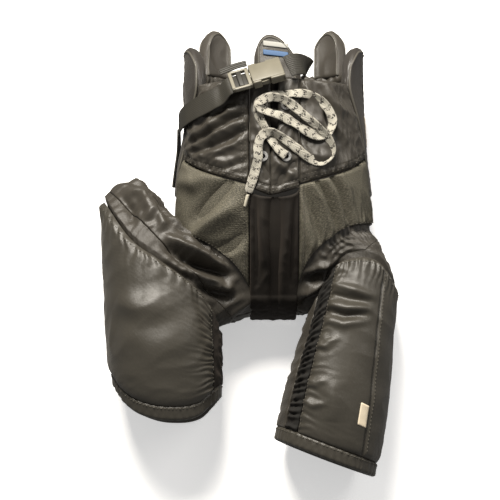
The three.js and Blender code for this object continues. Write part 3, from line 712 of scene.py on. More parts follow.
# Fly facings: two crumpled flaps of nylon with a slit between them, and a turned hem below.
FLY_SLIT = 0.007
EYELET_ROWS = (0.153, 0.096)
EYELET_OUT = 0.013
EYELET_CUT = 0.0046
APRON_FOLDS = {
    "right": [crease(((2, 150), (12, 120), (16, 92)), 0.004, 0.003),
              crease(((6, 110), (14, 88), (20, 66)), 0.004, -0.0035)],
    "left": [crease(((52, 92), (40, 78), (30, 66)), 0.004, -0.004),
             crease(((30, 92), (36, 84), (50, 74)), 0.005, 0.005),
             crease(((34, 118), (44, 100), (54, 84)), 0.004, 0.003),
             crease(((50, 120), (46, 98), (52, 82)), 0.003, -0.003)],
}
for name, side in SIDES.items():
    def apron_folds(point, across, lengthwise, near, name=name, side=side):
        hem = -0.0012 * math.exp(-(((lengthwise - 0.009) / 0.0012) ** 2))
        fine = 0.0010 * rumple(point, Vector((0.5, 0.86, 0)), size=0.009, stretch=2, seed=40)
        gap = min((point.xy - Vector((TRUNK_MIDDLE + side * EYELET_OUT, y))).length for y in EYELET_ROWS)
        free = min(max((gap - 0.005) / 0.006, 0), 1)
        return (sum(fold(point) for fold in APRON_FOLDS[name]) + fine + hem) * free

    def slit_edge(y, side=side):
        closed = min(max((0.128 - y) / 0.03, 0), 1) if side > 0 else 0
        return front_angle(mix(FLY_SLIT / 2, -0.0048, closed), y)

    def flap_place(u, v, depth, side=side, under=on_trunk(side, slit_edge, fly_edge,
                   lambda out: APRON_HEM - 0.009 * (1 - out), lambda out: FRONT_TOP)):
        over = max(0, 1 - u / 0.35) * min(max((0.7 - v) / 0.2, 0), 1) if side > 0 else 0
        return under(u, v, depth - 0.0022 * over)

    flap = quilted(f"fly_flap_{name}", NYLON, flap_place, width=0.0245, length=0.125, rise=0.0016,
                   sink=0.0004, roll=0.004, pitch=0.0012, edge=0.0012, folds=apron_folds)
    holed = bmesh.new()
    holed.from_mesh(flap.data)
    for y in EYELET_ROWS:
        centre = (ORIGIN + Vector((TRUNK_MIDDLE + side * EYELET_OUT, y, 0))).xy
        inside = [vert for vert in holed.verts if (vert.co.xy - centre).length < EYELET_CUT]
        bmesh.ops.delete(holed, geom=inside, context="VERTS")
        bmesh.ops.bridge_loops(holed, edges=[edge for edge in holed.edges if edge.is_boundary])
    bmesh.ops.recalc_face_normals(holed, faces=holed.faces[:])
    holed.to_mesh(flap.data)
    holed.free()
    sewn(flap, "hip", "shell_nylon", f"fly_facing_{name}")

# Tongue and groin gusset: thin black jersey. The tongue closes the slit from behind. The gusset
# runs from the apron down between the legs in soft upright folds, and turns under at the crotch.
def jersey(name, dark, light, depth=0.00025):
    finish = Finish(name)
    place = finish.place()
    rib, _, _ = finish.split(place)
    knit = (rib * 5200).sine() * 0.5 + finish.noise(place, 700, 2) * 0.7
    finish.set(Base_Color=finish.mix(finish.noise(place, 35, 4), dark, light), Roughness=0.85)
    finish.shader.inputs["Specular IOR Level"].default_value = 0.3
    finish.shader.inputs["Sheen Weight"].default_value = 0.05
    finish.shader.inputs["Sheen Roughness"].default_value = 0.5
    finish.shader.inputs["Sheen Tint"].default_value = (0.8, 0.62, 0.5, 1)
    finish.set(Normal=finish.bump(knit, depth, 0.6))
    return finish.material


JERSEY = jersey("stretch_jersey", dark=(0.006, 0.005, 0.004, 1), light=(0.018, 0.014, 0.010, 1))


def tongue_place(u, v, depth):
    y = mix(APRON_HEM + 0.006, FRONT_TOP - 0.004, v)
    reach = front_angle(FLY_HALF_WIDTH - 0.004, y)
    return trunk(mix(-reach, reach, u), y, depth)


tongue = quilted("fly_tongue_cloth", JERSEY, tongue_place, width=0.048, length=0.11, rise=0.001,
                 sink=0.0012, roll=0.003, pitch=0.003, edge=0.006)
sewn(tongue, "hip", "stretch_jersey", "fly_tongue")
GUSSET_NOSE = 0.72
GUSSET_FOLDS = [crease(((16, 60), (14, 20), (20, -24), (22, -60)), 0.0055, 0.008),
                crease(((42, 60), (42, 22), (36, -20), (34, -60)), 0.0055, 0.008),
                crease(((28, 50), (28, 14), (27, -24), (28, -66)), 0.0060, -0.016),
                crease(((14, 54), (28, 57), (42, 54)), 0.005, 0.006),
                crease(((6, 50), (7, 10), (8, -40)), 0.003, -0.005),
                crease(((50, 50), (48, 10), (46, -40)), 0.003, -0.005)]


def gusset_place(u, v, depth):
    start = CROTCH + 0.022
    top = APRON_HEM - 0.009 * rounded(u, 2) - SEAM
    y = mix(start, top, max(0, (v - 1 + GUSSET_NOSE) / GUSSET_NOSE))
    reach = front_angle(FLY_HALF_WIDTH, y) - SEAM_ANGLE
    point = trunk(mix(-reach, reach, u), y, depth)
    if v < 1 - GUSSET_NOSE:
        turn = (1 - v / (1 - GUSSET_NOSE)) * math.pi / 2
        foot = 0.006
        point.y = ORIGIN.y + start - (start - CROTCH - depth) * math.sin(turn)
        point.z = foot + (point.z - foot) * math.cos(turn)
    return point


def gusset_folds(point, across, lengthwise, near):
    drawn = sum(fold(point) for fold in GUSSET_FOLDS)
    return drawn + 0.0008 * rumple(point, Vector((0, 1, 0)), size=0.01, stretch=4, seed=51)


gusset = quilted("groin_gusset_cloth", JERSEY, gusset_place, width=0.056, length=0.19, rise=0.0015,
                 sink=0.0008, roll=0.006, pitch=0.0016, edge=0.0018,
                 folds=gusset_folds)
sewn(gusset, "hip", "stretch_jersey", "groin_gusset")

# Seat: a nylon wall with the tailbone pad and a thin lining behind it. It lies flat on the floor,
# with a shallow seam down the middle and drag folds from the hips.
def seat_place(u, v, depth):
    angle = mix(HIP_PAD_BACK + 2, 358 - HIP_PAD_BACK, u)
    low = along(TRUNK_EDGE["right" if angle > 180 else "left"], abs(180 - angle))
    return trunk(mix(HIP_PAD_BACK + 2 + SEAM_ANGLE, 358 - HIP_PAD_BACK - SEAM_ANGLE, u),
                 mix(low + SEAM / 2, BACK_TOP - SEAM / 2, v), depth)


def seat_folds(point, across, lengthwise, near):
    seam = -0.0012 * math.exp(-(((across - 0.115) / 0.0018) ** 2))
    return seam + 0.0008 * rumple(point, Vector((0.5, 0.86, 0)), size=0.03, stretch=3, seed=60)


seat = quilted("seat_wall", NYLON, seat_place, width=0.23, length=0.24, rise=0.0006, sink=0.0018,
               roll=0.006, pitch=0.0026, edge=0.0012, folds=seat_folds)
sewn(seat, "hip", "shell_nylon", "seat_cover")


def pad_place(u, v, depth):
    return trunk(mix(162, 198, u), mix(0.006 - 0.026 * rounded(u), 0.118 + 0.026 * rounded(u), v), depth)


def channels(point, across, lengthwise, near):
    return -0.002 * math.exp(-(((lengthwise % 0.035 - 0.0175) / 0.0016) ** 2))


def foam_finish(name, dark, light):
    finish = Finish(name)
    place = finish.place()
    cell = finish.noise(place, 900, 2)
    finish.set(Base_Color=finish.mix(finish.noise(place, 30, 3), dark, light), Roughness=0.95)
    finish.set(Normal=finish.bump(cell, 0.0004, 0.7))
    return finish.material


FOAM = foam_finish("pad_foam", dark=(0.05, 0.05, 0.05, 1), light=(0.09, 0.09, 0.088, 1))
tailbone = quilted("tailbone_cushion", FOAM, pad_place, width=0.07, length=0.14, rise=0.0035, sink=0.0035,
                   roll=0.012, pitch=0.0024, edge=0.0072, folds=channels)
sewn(tailbone, "hip", "foam", "tailbone_pad")
LINING = jersey("lining_mesh", dark=(0.010, 0.010, 0.010, 1), light=(0.022, 0.021, 0.02, 1), depth=0.0004)
LINING_DEPTH = 0.0116


def lining_place(u, v, depth):
    angle = mix(HIP_PAD_BACK + 5, 355 - HIP_PAD_BACK, u)
    low = max(along(TRUNK_EDGE["right" if angle > 180 else "left"], abs(180 - angle)), -0.04) + 0.008
    return trunk(angle, mix(low, BACK_TOP - 0.004, v), depth)


lining = quilted("seat_lining_cloth", LINING, lining_place, width=0.2, length=0.2, rise=0.0006, sink=0.0006,
                 roll=0.004, pitch=0.003, edge=LINING_DEPTH + 0.0008)
sewn(lining, "hip", "lining", "seat_lining")


# Belt round the back: ribbed nylon webbing through the lining.
def webbing(name, dark, light, width):
    finish = Finish(name)
    place = finish.place()
    run, out, _ = finish.split(place)
    rib = (out * (2 * math.pi / 0.0014)).sine()
    pick = (run * (2 * math.pi / 0.0011)).sine()
    selvedge = (finish.node("ShaderNodeMath", {"operation": "ABSOLUTE"},
                            {0: out - width / 2}) > width / 2 - 0.002)
    cloud = finish.noise(place, 45, 3)
    grain = finish.noise(finish.stretched(place, 500, 1500), 1.0, 2)
    colour = finish.mix(cloud * 0.6 + grain * 0.5 - selvedge * 0.25, dark, light)
    finish.set(Base_Color=colour, Roughness=grain * 0.2 + 0.42)
    finish.set(Normal=finish.bump(rib * 0.6 + pick * 0.35 + grain * 0.4, 0.00025, 0.7))
    return finish.material


WEBBING_WIDTH = 0.025
WEBBING = webbing("webbing", (0.028, 0.024, 0.017, 1), (0.095, 0.083, 0.06, 1), WEBBING_WIDTH)
BELT_DEPTH = 0.0138


def back_run_place(u, v, depth):
    low = FRONT_TOP - 0.02 - WEBBING_WIDTH
    return trunk(mix(HIP_PAD_BACK + 8, 352 - HIP_PAD_BACK, u), low + WEBBING_WIDTH * v, depth)


back_run = quilted("belt_back", WEBBING, back_run_place, width=0.19, length=WEBBING_WIDTH, rise=0.0008,
                   sink=0.0008, roll=0.0012, pitch=0.002,
                   edge=BELT_DEPTH + 0.0009)
sewn(back_run, "hip", "webbing", "belt_back_run")

# Guards above the waist: a tall pad over the spine and one over each kidney, each with a plastic
# plate behind it. Their faces are nylon with piping near the edge, and the spine pad carries two
# plain woven bars.
GUARD_NYLON = nylon("guard_nylon", dark=(0.034, 0.030, 0.024, 1), light=(0.062, 0.055, 0.045, 1),
                    rough=0.40, crumple=0.0004)
GUARD_FOOT = BACK_TOP + 0.003
GUARD_DEPTH = 0.0008
GUARD_FOAM = 0.0128
GUARDS = {"spine": ("spine_guard", 161, 192, 0.060, 1.7, 0.058),
          "kidney_left": ("kidney_guard_left", 120, 150, 0.062, 1, 0.045),
          "kidney_right": ("kidney_guard_right", 210, 240, 0.062, 1, 0.045)}
GUARD_LOWEST = 0.02
for name, (body, first, last, height, skew, width) in GUARDS.items():
    def guard_place(u, v, depth, first=first, last=last, height=height, skew=skew):
        top = GUARD_FOOT + GUARD_LOWEST + (height - GUARD_LOWEST) * rounded(u ** skew, 1.9)
        return trunk(mix(first + SEAM_ANGLE, last - SEAM_ANGLE, u),
                     mix(GUARD_FOOT + SEAM / 2, top - SEAM / 2, v),
                     GUARD_DEPTH + depth)

    def guard_folds(point, across, lengthwise, near):
        return 0.0008 * rumple(point, Vector((0.2, 0.6, 0.7)).normalized(), size=0.02, stretch=3, seed=70)

    def guard_face(u, v, depth, place=guard_place):
        return place(u, v, GUARD_FOAM / 2 - depth)

    pad = quilted(f"{name}_cushion", GUARD_NYLON, guard_face, width=width, length=0.06, rise=GUARD_FOAM / 2,
                  sink=GUARD_FOAM / 2, roll=0.006,
                  pitch=0.0016, edge=0, folds=guard_folds)
    sewn(pad, body, "shell_nylon", f"{name}_pad")
    for number, sign in enumerate((1, -1)):
        def line(t, face=OUTER_FACES[pad.name], sign=sign):
            return edge_line(lambda u, v: face(u, v, sign, GUARD_FOAM / 2), foot=0.05, inset=0.09)(t)
        piping = round_bar(f"{name}_piping_{number}", PIPING, line, radius=0.0011, steps=90)
        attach(piping, body)


ROLL_DEPTH = 0.007
ROLL_RADIUS = 0.0052


# The waist is bound at the back by a gathered roll of shell cloth, sewn along the top of the wall.
def roll_skin(t, turn):
    angle, y = mix(HIP_PAD_BACK + 4, 356 - HIP_PAD_BACK, t), BACK_TOP + 0.001
    centre = trunk(angle, y, ROLL_DEPTH)
    ahead = (trunk(angle + 1, y, ROLL_DEPTH) - trunk(angle - 1, y, ROLL_DEPTH)).normalized()
    side = ahead.cross(Vector((0, 1, 0))).normalized()
    way = side * math.cos(turn) + Vector((0, 1, 0)) * (1.5 * math.sin(turn))
    crumple = 0.0014 * rumple(centre + way * 0.006, Vector((0.3, 0.9, 0.3)).normalized(), size=0.008,
                              stretch=2, seed=75)
    point = centre + way * (ROLL_RADIUS + crumple)
    point.z = max(point.z, 0.0006)
    return point


waist_roll = swept("waist_roll", NYLON, length=0.3, girth=0.035, steps=230, ring=22, place=roll_skin)
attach(waist_roll, "hip")
BAR_COLOURS = {"pale": ((0.30, 0.295, 0.27, 1), (0.44, 0.435, 0.40, 1)),
               "blue": ((0.05, 0.10, 0.20, 1), (0.09, 0.16, 0.29, 1))}
BAR_FACE = GUARD_DEPTH + GUARD_FOAM
for colour, (low, high) in {"pale": (0.041, 0.048), "blue": (0.030, 0.037)}.items():
    def bar_place(u, v, depth, low=low, high=high):
        return trunk(mix(169, 186, u), GUARD_FOOT + mix(low, high, v) + 0.004 * (u - 0.5),
                     BAR_FACE + 0.0012 - depth)

    finish = Finish(f"woven_bar_{colour}")
    thread = finish.noise(finish.stretched(finish.place(), 2200, 500), 1.0, 2)
    finish.set(Base_Color=finish.mix(thread, *BAR_COLOURS[colour]), Roughness=0.75)
    finish.set(Normal=finish.bump(thread, 0.0003, 0.6))
    bar = quilted(f"spine_bar_{colour}", finish.material, bar_place, width=0.03, length=0.006, rise=0.0005,
                  sink=0.0004, roll=0.0008, pitch=0.0012, edge=0)
    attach(bar, "spine_guard")

# ---------------------------------------------------------------- legs
# Each leg is a padded sleeve on its own form, flat where it rests. The thigh pad stands in a
# pocket under the cover, which is gathered on to the loose cloth above it and a band below.
LEGS = {
    "right": dict(
        side=-1, x=-0.092, y=-0.194, lean=-3, swell=0.036,
        half_width=[(0, 0.058), (0.060, 0.063), (0.160, 0.065), (0.262, 0.066)],
        height=[(0, 0.100), (0.060, 0.118), (0.150, 0.122), (0.262, 0.112)],
        hem=[(-1, 0.044), (-0.8, 0.022), (-0.5, 0.008), (0, 0), (0.6, 0.003), (1, 0.024)],
        mouth=[(-1, 0.258), (-0.5, 0.206), (0, 0.179), (0.45, 0.156), (0.8, 0.131), (1, 0.100)]),
    "left": dict(
        side=1, x=0.084, y=-0.236, lean=11, swell=0.004,
        half_width=[(0, 0.060), (0.080, 0.057), (0.140, 0.051), (0.190, 0.047), (0.234, 0.045)],
        height=[(0, 0.108), (0.080, 0.116), (0.160, 0.114), (0.234, 0.106)],
        hem=[(-1, 0.011), (0, 0), (1, -0.009)],
        mouth=[(-1, 0.155), (-0.75, 0.206), (-0.3, 0.226), (0.4, 0.228), (1, 0.204)]),
}
LEG_COVER_EDGE = 122
INNER_SEAM = 58
HEM_BAND = 0.014
HEM_LAP = 0.0022


def leg_point(leg, angle, rise, depth):
    turn, lean = math.radians(angle), math.radians(leg["lean"])
    out = (along(leg["half_width"], rise) - depth) * squared(math.sin(turn))
    height = along(leg["height"], rise)
    middle = height / 2 - SETTLE
    z = middle + (height - depth - middle) * squared(math.cos(turn))
    return ORIGIN + Vector((leg["x"] + rise * math.sin(lean) + out * math.cos(lean),
                            leg["y"] + rise * math.cos(lean) - out * math.sin(lean),
                            max(z, depth, FLOOR_GAP)))


def hem_of(leg, angle):
    return along(leg["hem"], squared(math.sin(math.radians(angle))))


def mouth_of(leg, angle):
    return along(leg["mouth"], squared(math.sin(math.radians(angle))))


def on_leg(leg, first, last, margin=0.001):
    """Where a leg panel lies, between two angles. v runs from the hem band up to the mouth."""
    def place(u, v, depth):
        angle = mix(first + SEAM_ANGLE / 2, last - SEAM_ANGLE / 2, u)
        low, high = hem_of(leg, angle) + HEM_BAND + margin, mouth_of(leg, angle) - margin
        return leg_point(leg, angle, mix(low, high, v), depth)
    return place


# Thigh covers: satin nylon drawn over the foam pad, puckered along its sewn edges. On the left a
# black ruffled band of jersey is set in beside the inner seam, and a welt marks the outer side.
LEG_NYLON = nylon("thigh_nylon", dark=(0.028, 0.025, 0.019, 1), light=(0.058, 0.052, 0.041, 1), rough=0.38,
                  crumple=0.0005)
RUFFLE_EDGE = 37
WELT = (0.47, 0.425)
THIGH_FOLDS = {
    "right": [crease(((-146, -60), (-120, -70), (-94, -66)), 0.014, 0.003),
              crease(((-148, -100), (-110, -112), (-60, -100)), 0.02, 0.002),
              crease(((-62, -50), (-52, -80), (-48, -118)), 0.006, -0.002)],
    "left": [crease(((94, -42), (112, -48), (136, -56)), 0.005, 0.0028),
             crease(((88, -64), (108, -70), (130, -70)), 0.005, 0.0028),
             crease(((82, -80), (104, -88), (128, -84)), 0.005, 0.0022),
             crease(((90, -53), (110, -60), (130, -63)), 0.004, -0.002),
             crease(((84, -72), (104, -79), (126, -77)), 0.004, -0.002),
             crease(((70, -108), (84, -112), (96, -104)), 0.004, 0.0018),
             crease(((92, -150), (92, -180), (90, -196)), 0.010, 0.002),
             crease(((60, -150), (74, -154), (84, -150)), 0.004, 0.0016),
             crease(((58, -172), (70, -178), (82, -176)), 0.004, 0.0016)],
}
THIGH_LENGTH = {"right": 0.165, "left": 0.2}
THIGH_WIDTH = 0.165
for name, leg in LEGS.items():
    side = leg["side"]
    grain = Vector((0.9, -0.35 * side, 0)).normalized()

    def thigh_folds(point, across, lengthwise, near, name=name, grain=grain):
        length = THIGH_LENGTH[name]
        from_mouth = length - lengthwise
        drawn = sum(fold(point) for fold in THIGH_FOLDS[name])
        gathers = 0.0026 * pucker(across, from_mouth, spacing=0.0085, reach=0.009, seed=80)
        seam = 0.0013 * pucker(lengthwise, across if name == "left" else 0.16 - across, spacing=0.009,
                               reach=0.010, seed=81)
        welt_line = mix(*WELT, lengthwise / length)
        welt = 0
        if name == "left":
            welt = -0.0035 * math.exp(-(((across / THIGH_WIDTH - welt_line) / 0.012) ** 2))
        soft = 0.0009 * rumple(point, grain, size=0.03, stretch=2, seed=82)
        fine = 0.0003 * rumple(point, grain, size=0.008, stretch=3, seed=83) * math.exp(-near / 0.03)
        return drawn * 1.8 + gathers + seam + welt + soft + fine

    first, last = (-RUFFLE_EDGE, LEG_COVER_EDGE) if side > 0 else (-LEG_COVER_EDGE, INNER_SEAM)
    cover = quilted(f"thigh_pad_cover_{name}", LEG_NYLON, on_leg(leg, first, last), width=THIGH_WIDTH,
                    length=THIGH_LENGTH[name],
                    rise=0.005, sink=0.0006, roll=0.012, pitch=0.0015, edge=0.002, folds=thigh_folds)
    sewn(cover, f"leg_{name}", "shell_nylon", f"thigh_cover_{name}")

RUFFLE = jersey("ruffled_jersey", dark=(0.006, 0.006, 0.0055, 1), light=(0.016, 0.015, 0.013, 1))


def ruffle_folds(point, across, lengthwise, near):
    wave = pucker(lengthwise, abs(across - 0.012), spacing=0.0075, reach=0.02, seed=90)
    return 0.0022 * wave + 0.0008 * rumple(point, Vector((0.96, 0.2, 0)), size=0.006, stretch=3, seed=91)


ruffle = quilted("ruffled_band_left", RUFFLE, on_leg(LEGS["left"], -INNER_SEAM, -RUFFLE_EDGE), width=0.024,
                 length=0.18, rise=0.0022,
                 sink=0.0006, roll=0.005, pitch=0.0012, edge=0.0016, folds=ruffle_folds)
sewn(ruffle, "leg_left", "stretch_jersey", "thigh_cover_left")

# Inner thighs, of black jersey on the right and nylon on the left, leg backs of nylon, foam pads, and
# a mesh lining down each leg.
def inner_folds(point, across, lengthwise, near):
    return 0.0016 * rumple(point, Vector((0.3, 0.2, 0.93)), size=0.014, stretch=3, seed=95)


def rear_folds(point, across, lengthwise, near):
    return 0.0008 * rumple(point, Vector((0.9, 0.4, 0)), size=0.03, stretch=3, seed=97)


def hem_folds(point, across, lengthwise, near):
    return 0.0007 * pucker(across, near, spacing=0.008, reach=0.006, seed=99)


for name, leg in LEGS.items():
    side, body = leg["side"], f"leg_{name}"
    edges = (-LEG_COVER_EDGE, -INNER_SEAM) if side > 0 else (INNER_SEAM, LEG_COVER_EDGE)
    inner = quilted(f"inner_thigh_cloth_{name}", JERSEY if side < 0 else NYLON, on_leg(leg, *edges),
                    width=0.075, length=0.13,
                    rise=0.0012, sink=0.0006, roll=0.005, pitch=0.002, edge=0.0012, folds=inner_folds)
    sewn(inner, body, "stretch_jersey", f"inner_thigh_{name}")
    rear = quilted(f"leg_back_cloth_{name}", NYLON, on_leg(leg, LEG_COVER_EDGE, 360 - LEG_COVER_EDGE),
                   width=0.12, length=0.18,
                   rise=0.0008, sink=0.0018, roll=0.006, pitch=0.0024, edge=0.0014, folds=rear_folds)
    sewn(rear, body, "shell_nylon", f"leg_back_{name}")
    first, last = (5 - INNER_SEAM, LEG_COVER_EDGE - 5) if side > 0 else (5 - LEG_COVER_EDGE, INNER_SEAM - 5)
    pad = quilted(f"thigh_pad_foam_{name}", FOAM, on_leg(leg, first, last, 0.007), width=0.15, length=0.18,
                  rise=0.0035, sink=0.0035, roll=0.01,
                  pitch=0.003, edge=0.0134)
    sewn(pad, body, "foam", f"thigh_foam_{name}")
    sleeve = quilted(f"leg_lining_{name}", LINING, on_leg(leg, -178, 178, 0.005), width=0.36, length=0.18,
                     rise=0.0005, sink=0.0005, roll=0.003,
                     pitch=0.003, edge=0.0206)
    sewn(sleeve, body, "lining", f"thigh_lining_{name}")

    # The hem is a turned band, rolled at its lower edge.
    def hem_place(u, v, depth, leg=leg):
        angle = mix(-182, 182, u)
        return leg_point(leg, angle, hem_of(leg, angle) + (HEM_BAND + HEM_LAP) * v, depth)

    hem = quilted(f"hem_band_cloth_{name}", LEG_NYLON, hem_place, width=0.36, length=HEM_BAND, rise=0.0022,
                  sink=0.0018, roll=0.003, pitch=0.0014,
                  edge=0.0018, folds=hem_folds)
    sewn(hem, body, "hem_binding", f"hem_band_{name}")

# Loose cloth: the nylon sleeve between the trunk and each leg, in two lengths that meet on a plane
# across the hip. It is sewn inside the trunk's edge, round the gusset at the crotch and inside the
# leg's mouth, and bunches in deep pleats on the right.
BRIDGE_GAP = 0.0065
TUCK = 0.012
PLEATS = {
    "right": [crease(((-96, 12), (-76, 2), (-50, -10), (-26, -22)), 0.0045, 0.009),
              crease(((-95, -2), (-76, -12), (-54, -22), (-30, -30)), 0.0060, -0.024),
              crease(((-96, -15), (-76, -27), (-56, -34), (-34, -37)), 0.0042, 0.012),
              crease(((-94, -24), (-80, -34), (-62, -40)), 0.0045, -0.014),
              crease(((-60, -46), (-40, -52), (-22, -54)), 0.0050, -0.016),
              crease(((-60, -40), (-42, -43), (-20, -44)), 0.0040, 0.007),
              crease(((-140, 70), (-122, 60), (-112, 40), (-116, 28)), 0.0060, 0.010),
              crease(((-146, 58), (-134, 42), (-132, 26)), 0.0055, -0.012),
              crease(((-112, 60), (-102, 40), (-96, 22)), 0.0045, 0.008),
              crease(((-120, 66), (-104, 52), (-98, 34)), 0.0040, -0.009),
              crease(((-160, 50), (-150, 34), (-144, 20)), 0.0050, 0.006)],
    "left": [crease(((60, -26), (80, -20), (102, -12)), 0.0045, 0.009),
             crease(((56, -36), (76, -31), (98, -24)), 0.0050, -0.014),
             crease(((62, -50), (76, -42), (88, -36)), 0.0045, 0.008),
             crease(((58, -62), (70, -56), (80, -50)), 0.0050, -0.010)],
}
GATHERS = {"right": (0.0022, 0.014), "left": (0.0034, 0.022)}
BUNCHES = {"right": 0.0030, "left": 0.0012}
CROTCH_TURNS = (-0.075, 1.06)


def loose_line(name, leg, turn, share):
    """The loose cloth's own form: out from inside the trunk, across, and down inside the leg."""
    side = leg["side"]
    angle = mix(FLY_ANGLE + 2, 178 - FLY_ANGLE, min(max(turn, 0), 1))
    edge = along(TRUNK_EDGE[name], from_middle(angle))
    leg_angle = side * mix(-70, 250, turn)
    mouth = mouth_of(leg, leg_angle)
    tucked = trunk(side * angle, edge + TUCK, 0.007)
    hung = trunk(side * angle, edge - BRIDGE_GAP, 0.003)
    round_crotch = turn / CROTCH_TURNS[0] / 2 if turn < 0 else 1 - (turn - 1) / (CROTCH_TURNS[1] - 1) / 2
    if turn < 0 or turn > 1:
        nose = gusset_place(0.5 + side * 0.42, (1 - GUSSET_NOSE) * (1 - round_crotch), 0.004)
        near_edge = min(round_crotch, 1 - round_crotch) * 2
        hung = hung.lerp(nose, min(near_edge * 3, 1))
        tucked = hung + Vector((-side * 0.004, 0.006, 0))
    drawn = leg_point(leg, leg_angle, mouth + BRIDGE_GAP, 0.003)
    held = leg_point(leg, leg_angle, mouth - TUCK, 0.0075)
    if share < 0.12:
        return tucked.lerp(hung, share / 0.12)
    if share > 0.88:
        return drawn.lerp(held, (share - 0.88) / 0.12)
    t = (share - 0.12) / 0.76
    point = hung.lerp(drawn, t)
    power = 0.9 if name == "right" else 2
    point.y += leg["swell"] * math.sin(math.pi * t) * math.sin(math.pi * min(max(turn, 0), 1)) ** power
    return point


LOOSE_WAYS = {"right": Vector((-0.717, -0.697, 0)), "left": Vector((0.712, -0.702, 0))}
PARTING = {"right": 0.068, "left": 0.095}
BENDS = {"right": {"upper": (0.057, 0.067), "lower": (0.069, 0.079)},
         "left": {"upper": (0.086, 0.094), "lower": (0.096, 0.104)}}


def parting(name, leg, turn):
    """Where the two lengths meet: the share at which the form crosses the parting plane."""
    low, high = 0.14, 0.86
    for _ in range(12):
        middle = (low + high) / 2
        if (loose_line(name, leg, turn, middle) - ORIGIN).dot(LOOSE_WAYS[name]) < PARTING[name]:
            low = middle
        else:
            high = middle
    return (low + high) / 2


for name, leg in LEGS.items():
    side = leg["side"]

    def loose(u, share, name=name, leg=leg, side=side):
        turn = mix(*CROTCH_TURNS, u if side > 0 else 1 - u)
        point = loose_line(name, leg, turn, share)
        across = loose_line(name, leg, turn + 0.01, share) - loose_line(name, leg, turn - 0.01, share)
        above, below = max(share - 0.04, 0), min(share + 0.04, 1)
        down = loose_line(name, leg, turn, below) - loose_line(name, leg, turn, above)
        normal = across.cross(down).normalized() * -side
        full = math.sin(math.pi * min(max((share - 0.06) / 0.88, 0), 1)) ** 0.7
        flat = point - ORIGIN
        front = min(max((flat.z - 0.045) / 0.03, 0), 1)
        drawn = front * sum(fold(flat) for fold in PLEATS[name])
        wander = 0.9 * noise.noise(Vector((turn * 6, share, 120)))
        bunch = BUNCHES[name] * math.sin(2 * math.pi * (share * 4.2 + wander))
        soft = 0.0022 * rumple(flat, Vector((0.9, -0.3 * side, 0.2)).normalized(), size=0.016, stretch=3,
                               seed=121)
        height, reach = GATHERS[name]
        from_seam = share if name == "left" else min(share, 1 - share)
        gathers = height * pucker(turn * 0.4, max(from_seam * 0.1 - 0.008, 0), spacing=0.010, reach=reach,
                                  seed=122)
        crisp = 0.0009 * rumple(flat, Vector((0.8, -0.5 * side, 0.2)).normalized(), size=0.007, stretch=4,
                                seed=123)
        calm = min(max(min(turn, 1 - turn) / 0.13, 0.1), 1)
        return point, normal, full * (drawn + (bunch * (1 - 0.6 * front) + gathers) * calm + soft + crisp)

    met = {}
    for ring in ("upper", "lower"):
        def loose_place(u, v, depth, loose=loose, ring=ring, name=name, leg=leg, side=side, met=met):
            if u not in met:
                met[u] = parting(name, leg, mix(*CROTCH_TURNS, u if side > 0 else 1 - u))
            point, normal, lift = loose(u, mix(met[u], 0, v) if ring == "upper" else mix(1, met[u], v))
            point = point + normal * (lift - depth)
            point.z = max(point.z, 0.0006)
            return point

        cloth = quilted(f"loose_cloth_{ring}_{name}", NYLON, loose_place, width=0.42, length=0.085,
                        rise=0.0005, sink=0.0006, roll=0.0015, pitch=0.0018)
        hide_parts(f"bridge_{ring}_{name}")
        away = LOOSE_WAYS[name]
        (first, last), bodies = BENDS[name][ring], ("hip", f"leg_yoke_{name}", f"leg_{name}")
        pair = bodies[:2] if ring == "upper" else bodies[1:]
        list(pair)
        ORIGIN + away * first
        ORIGIN + away * last
        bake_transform(cloth)

# ---------------------------------------------------------------- thread
# Lockstitch rows along the seams: heavy thread that shows as short raised dashes.
STITCH_RADIUS = 0.00055


def thread_finish():
    finish = Finish("seam_thread")
    twist = finish.noise(finish.place(False), 1800, 2)
    finish.set(Base_Color=finish.mix(twist, (0.050, 0.045, 0.036, 1), (0.11, 0.10, 0.08, 1)), Roughness=0.8)
    finish.set(Normal=finish.bump(twist, 0.0002, 0.6))
    return finish.material


THREAD = thread_finish()


def stitch_row(mesh, skin, path, gap=0.0042):
    """Adds one row of stitches along path(t) -> (u, v) on a padded face."""
    steps = 160
    line = [skin(*path(i / steps)) for i in range(steps + 1)]
    walked, due = 0.0, gap / 2
    for i in range(steps):
        step = line[i + 1] - line[i]
        while walked + step.length > due:
            t = (i + (due - walked) / step.length) / steps
            u, v = path(t)
            e = 0.004
            up = skin(u, min(v + e, 1)) - skin(u, max(v - e, 0))
            out = (skin(min(u + e, 1), v) - skin(max(u - e, 0), v)).cross(up)
            out.normalize()
            centre = skin(u, v) + out * (STITCH_RADIUS * 0.5 if out.z > -0.5 else -STITCH_RADIUS * 0.5)
            turn = step.normalized().to_track_quat("Z", "Y").to_matrix().to_4x4()
            size = Matrix.Diagonal((STITCH_RADIUS, STITCH_RADIUS, gap * 0.34, 1))
            bmesh.ops.create_icosphere(mesh, subdivisions=1, radius=1,
                                       matrix=Matrix.Translation(centre) @ turn @ size)
            due += gap
        walked += step.length


def stitching(name, body, rows):
    mesh = bmesh.new()
    for piece, path in rows:
        stitch_row(mesh, OUTER_FACES[piece], path)
    obj = shown(name, mesh, THREAD)
    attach(obj, body)


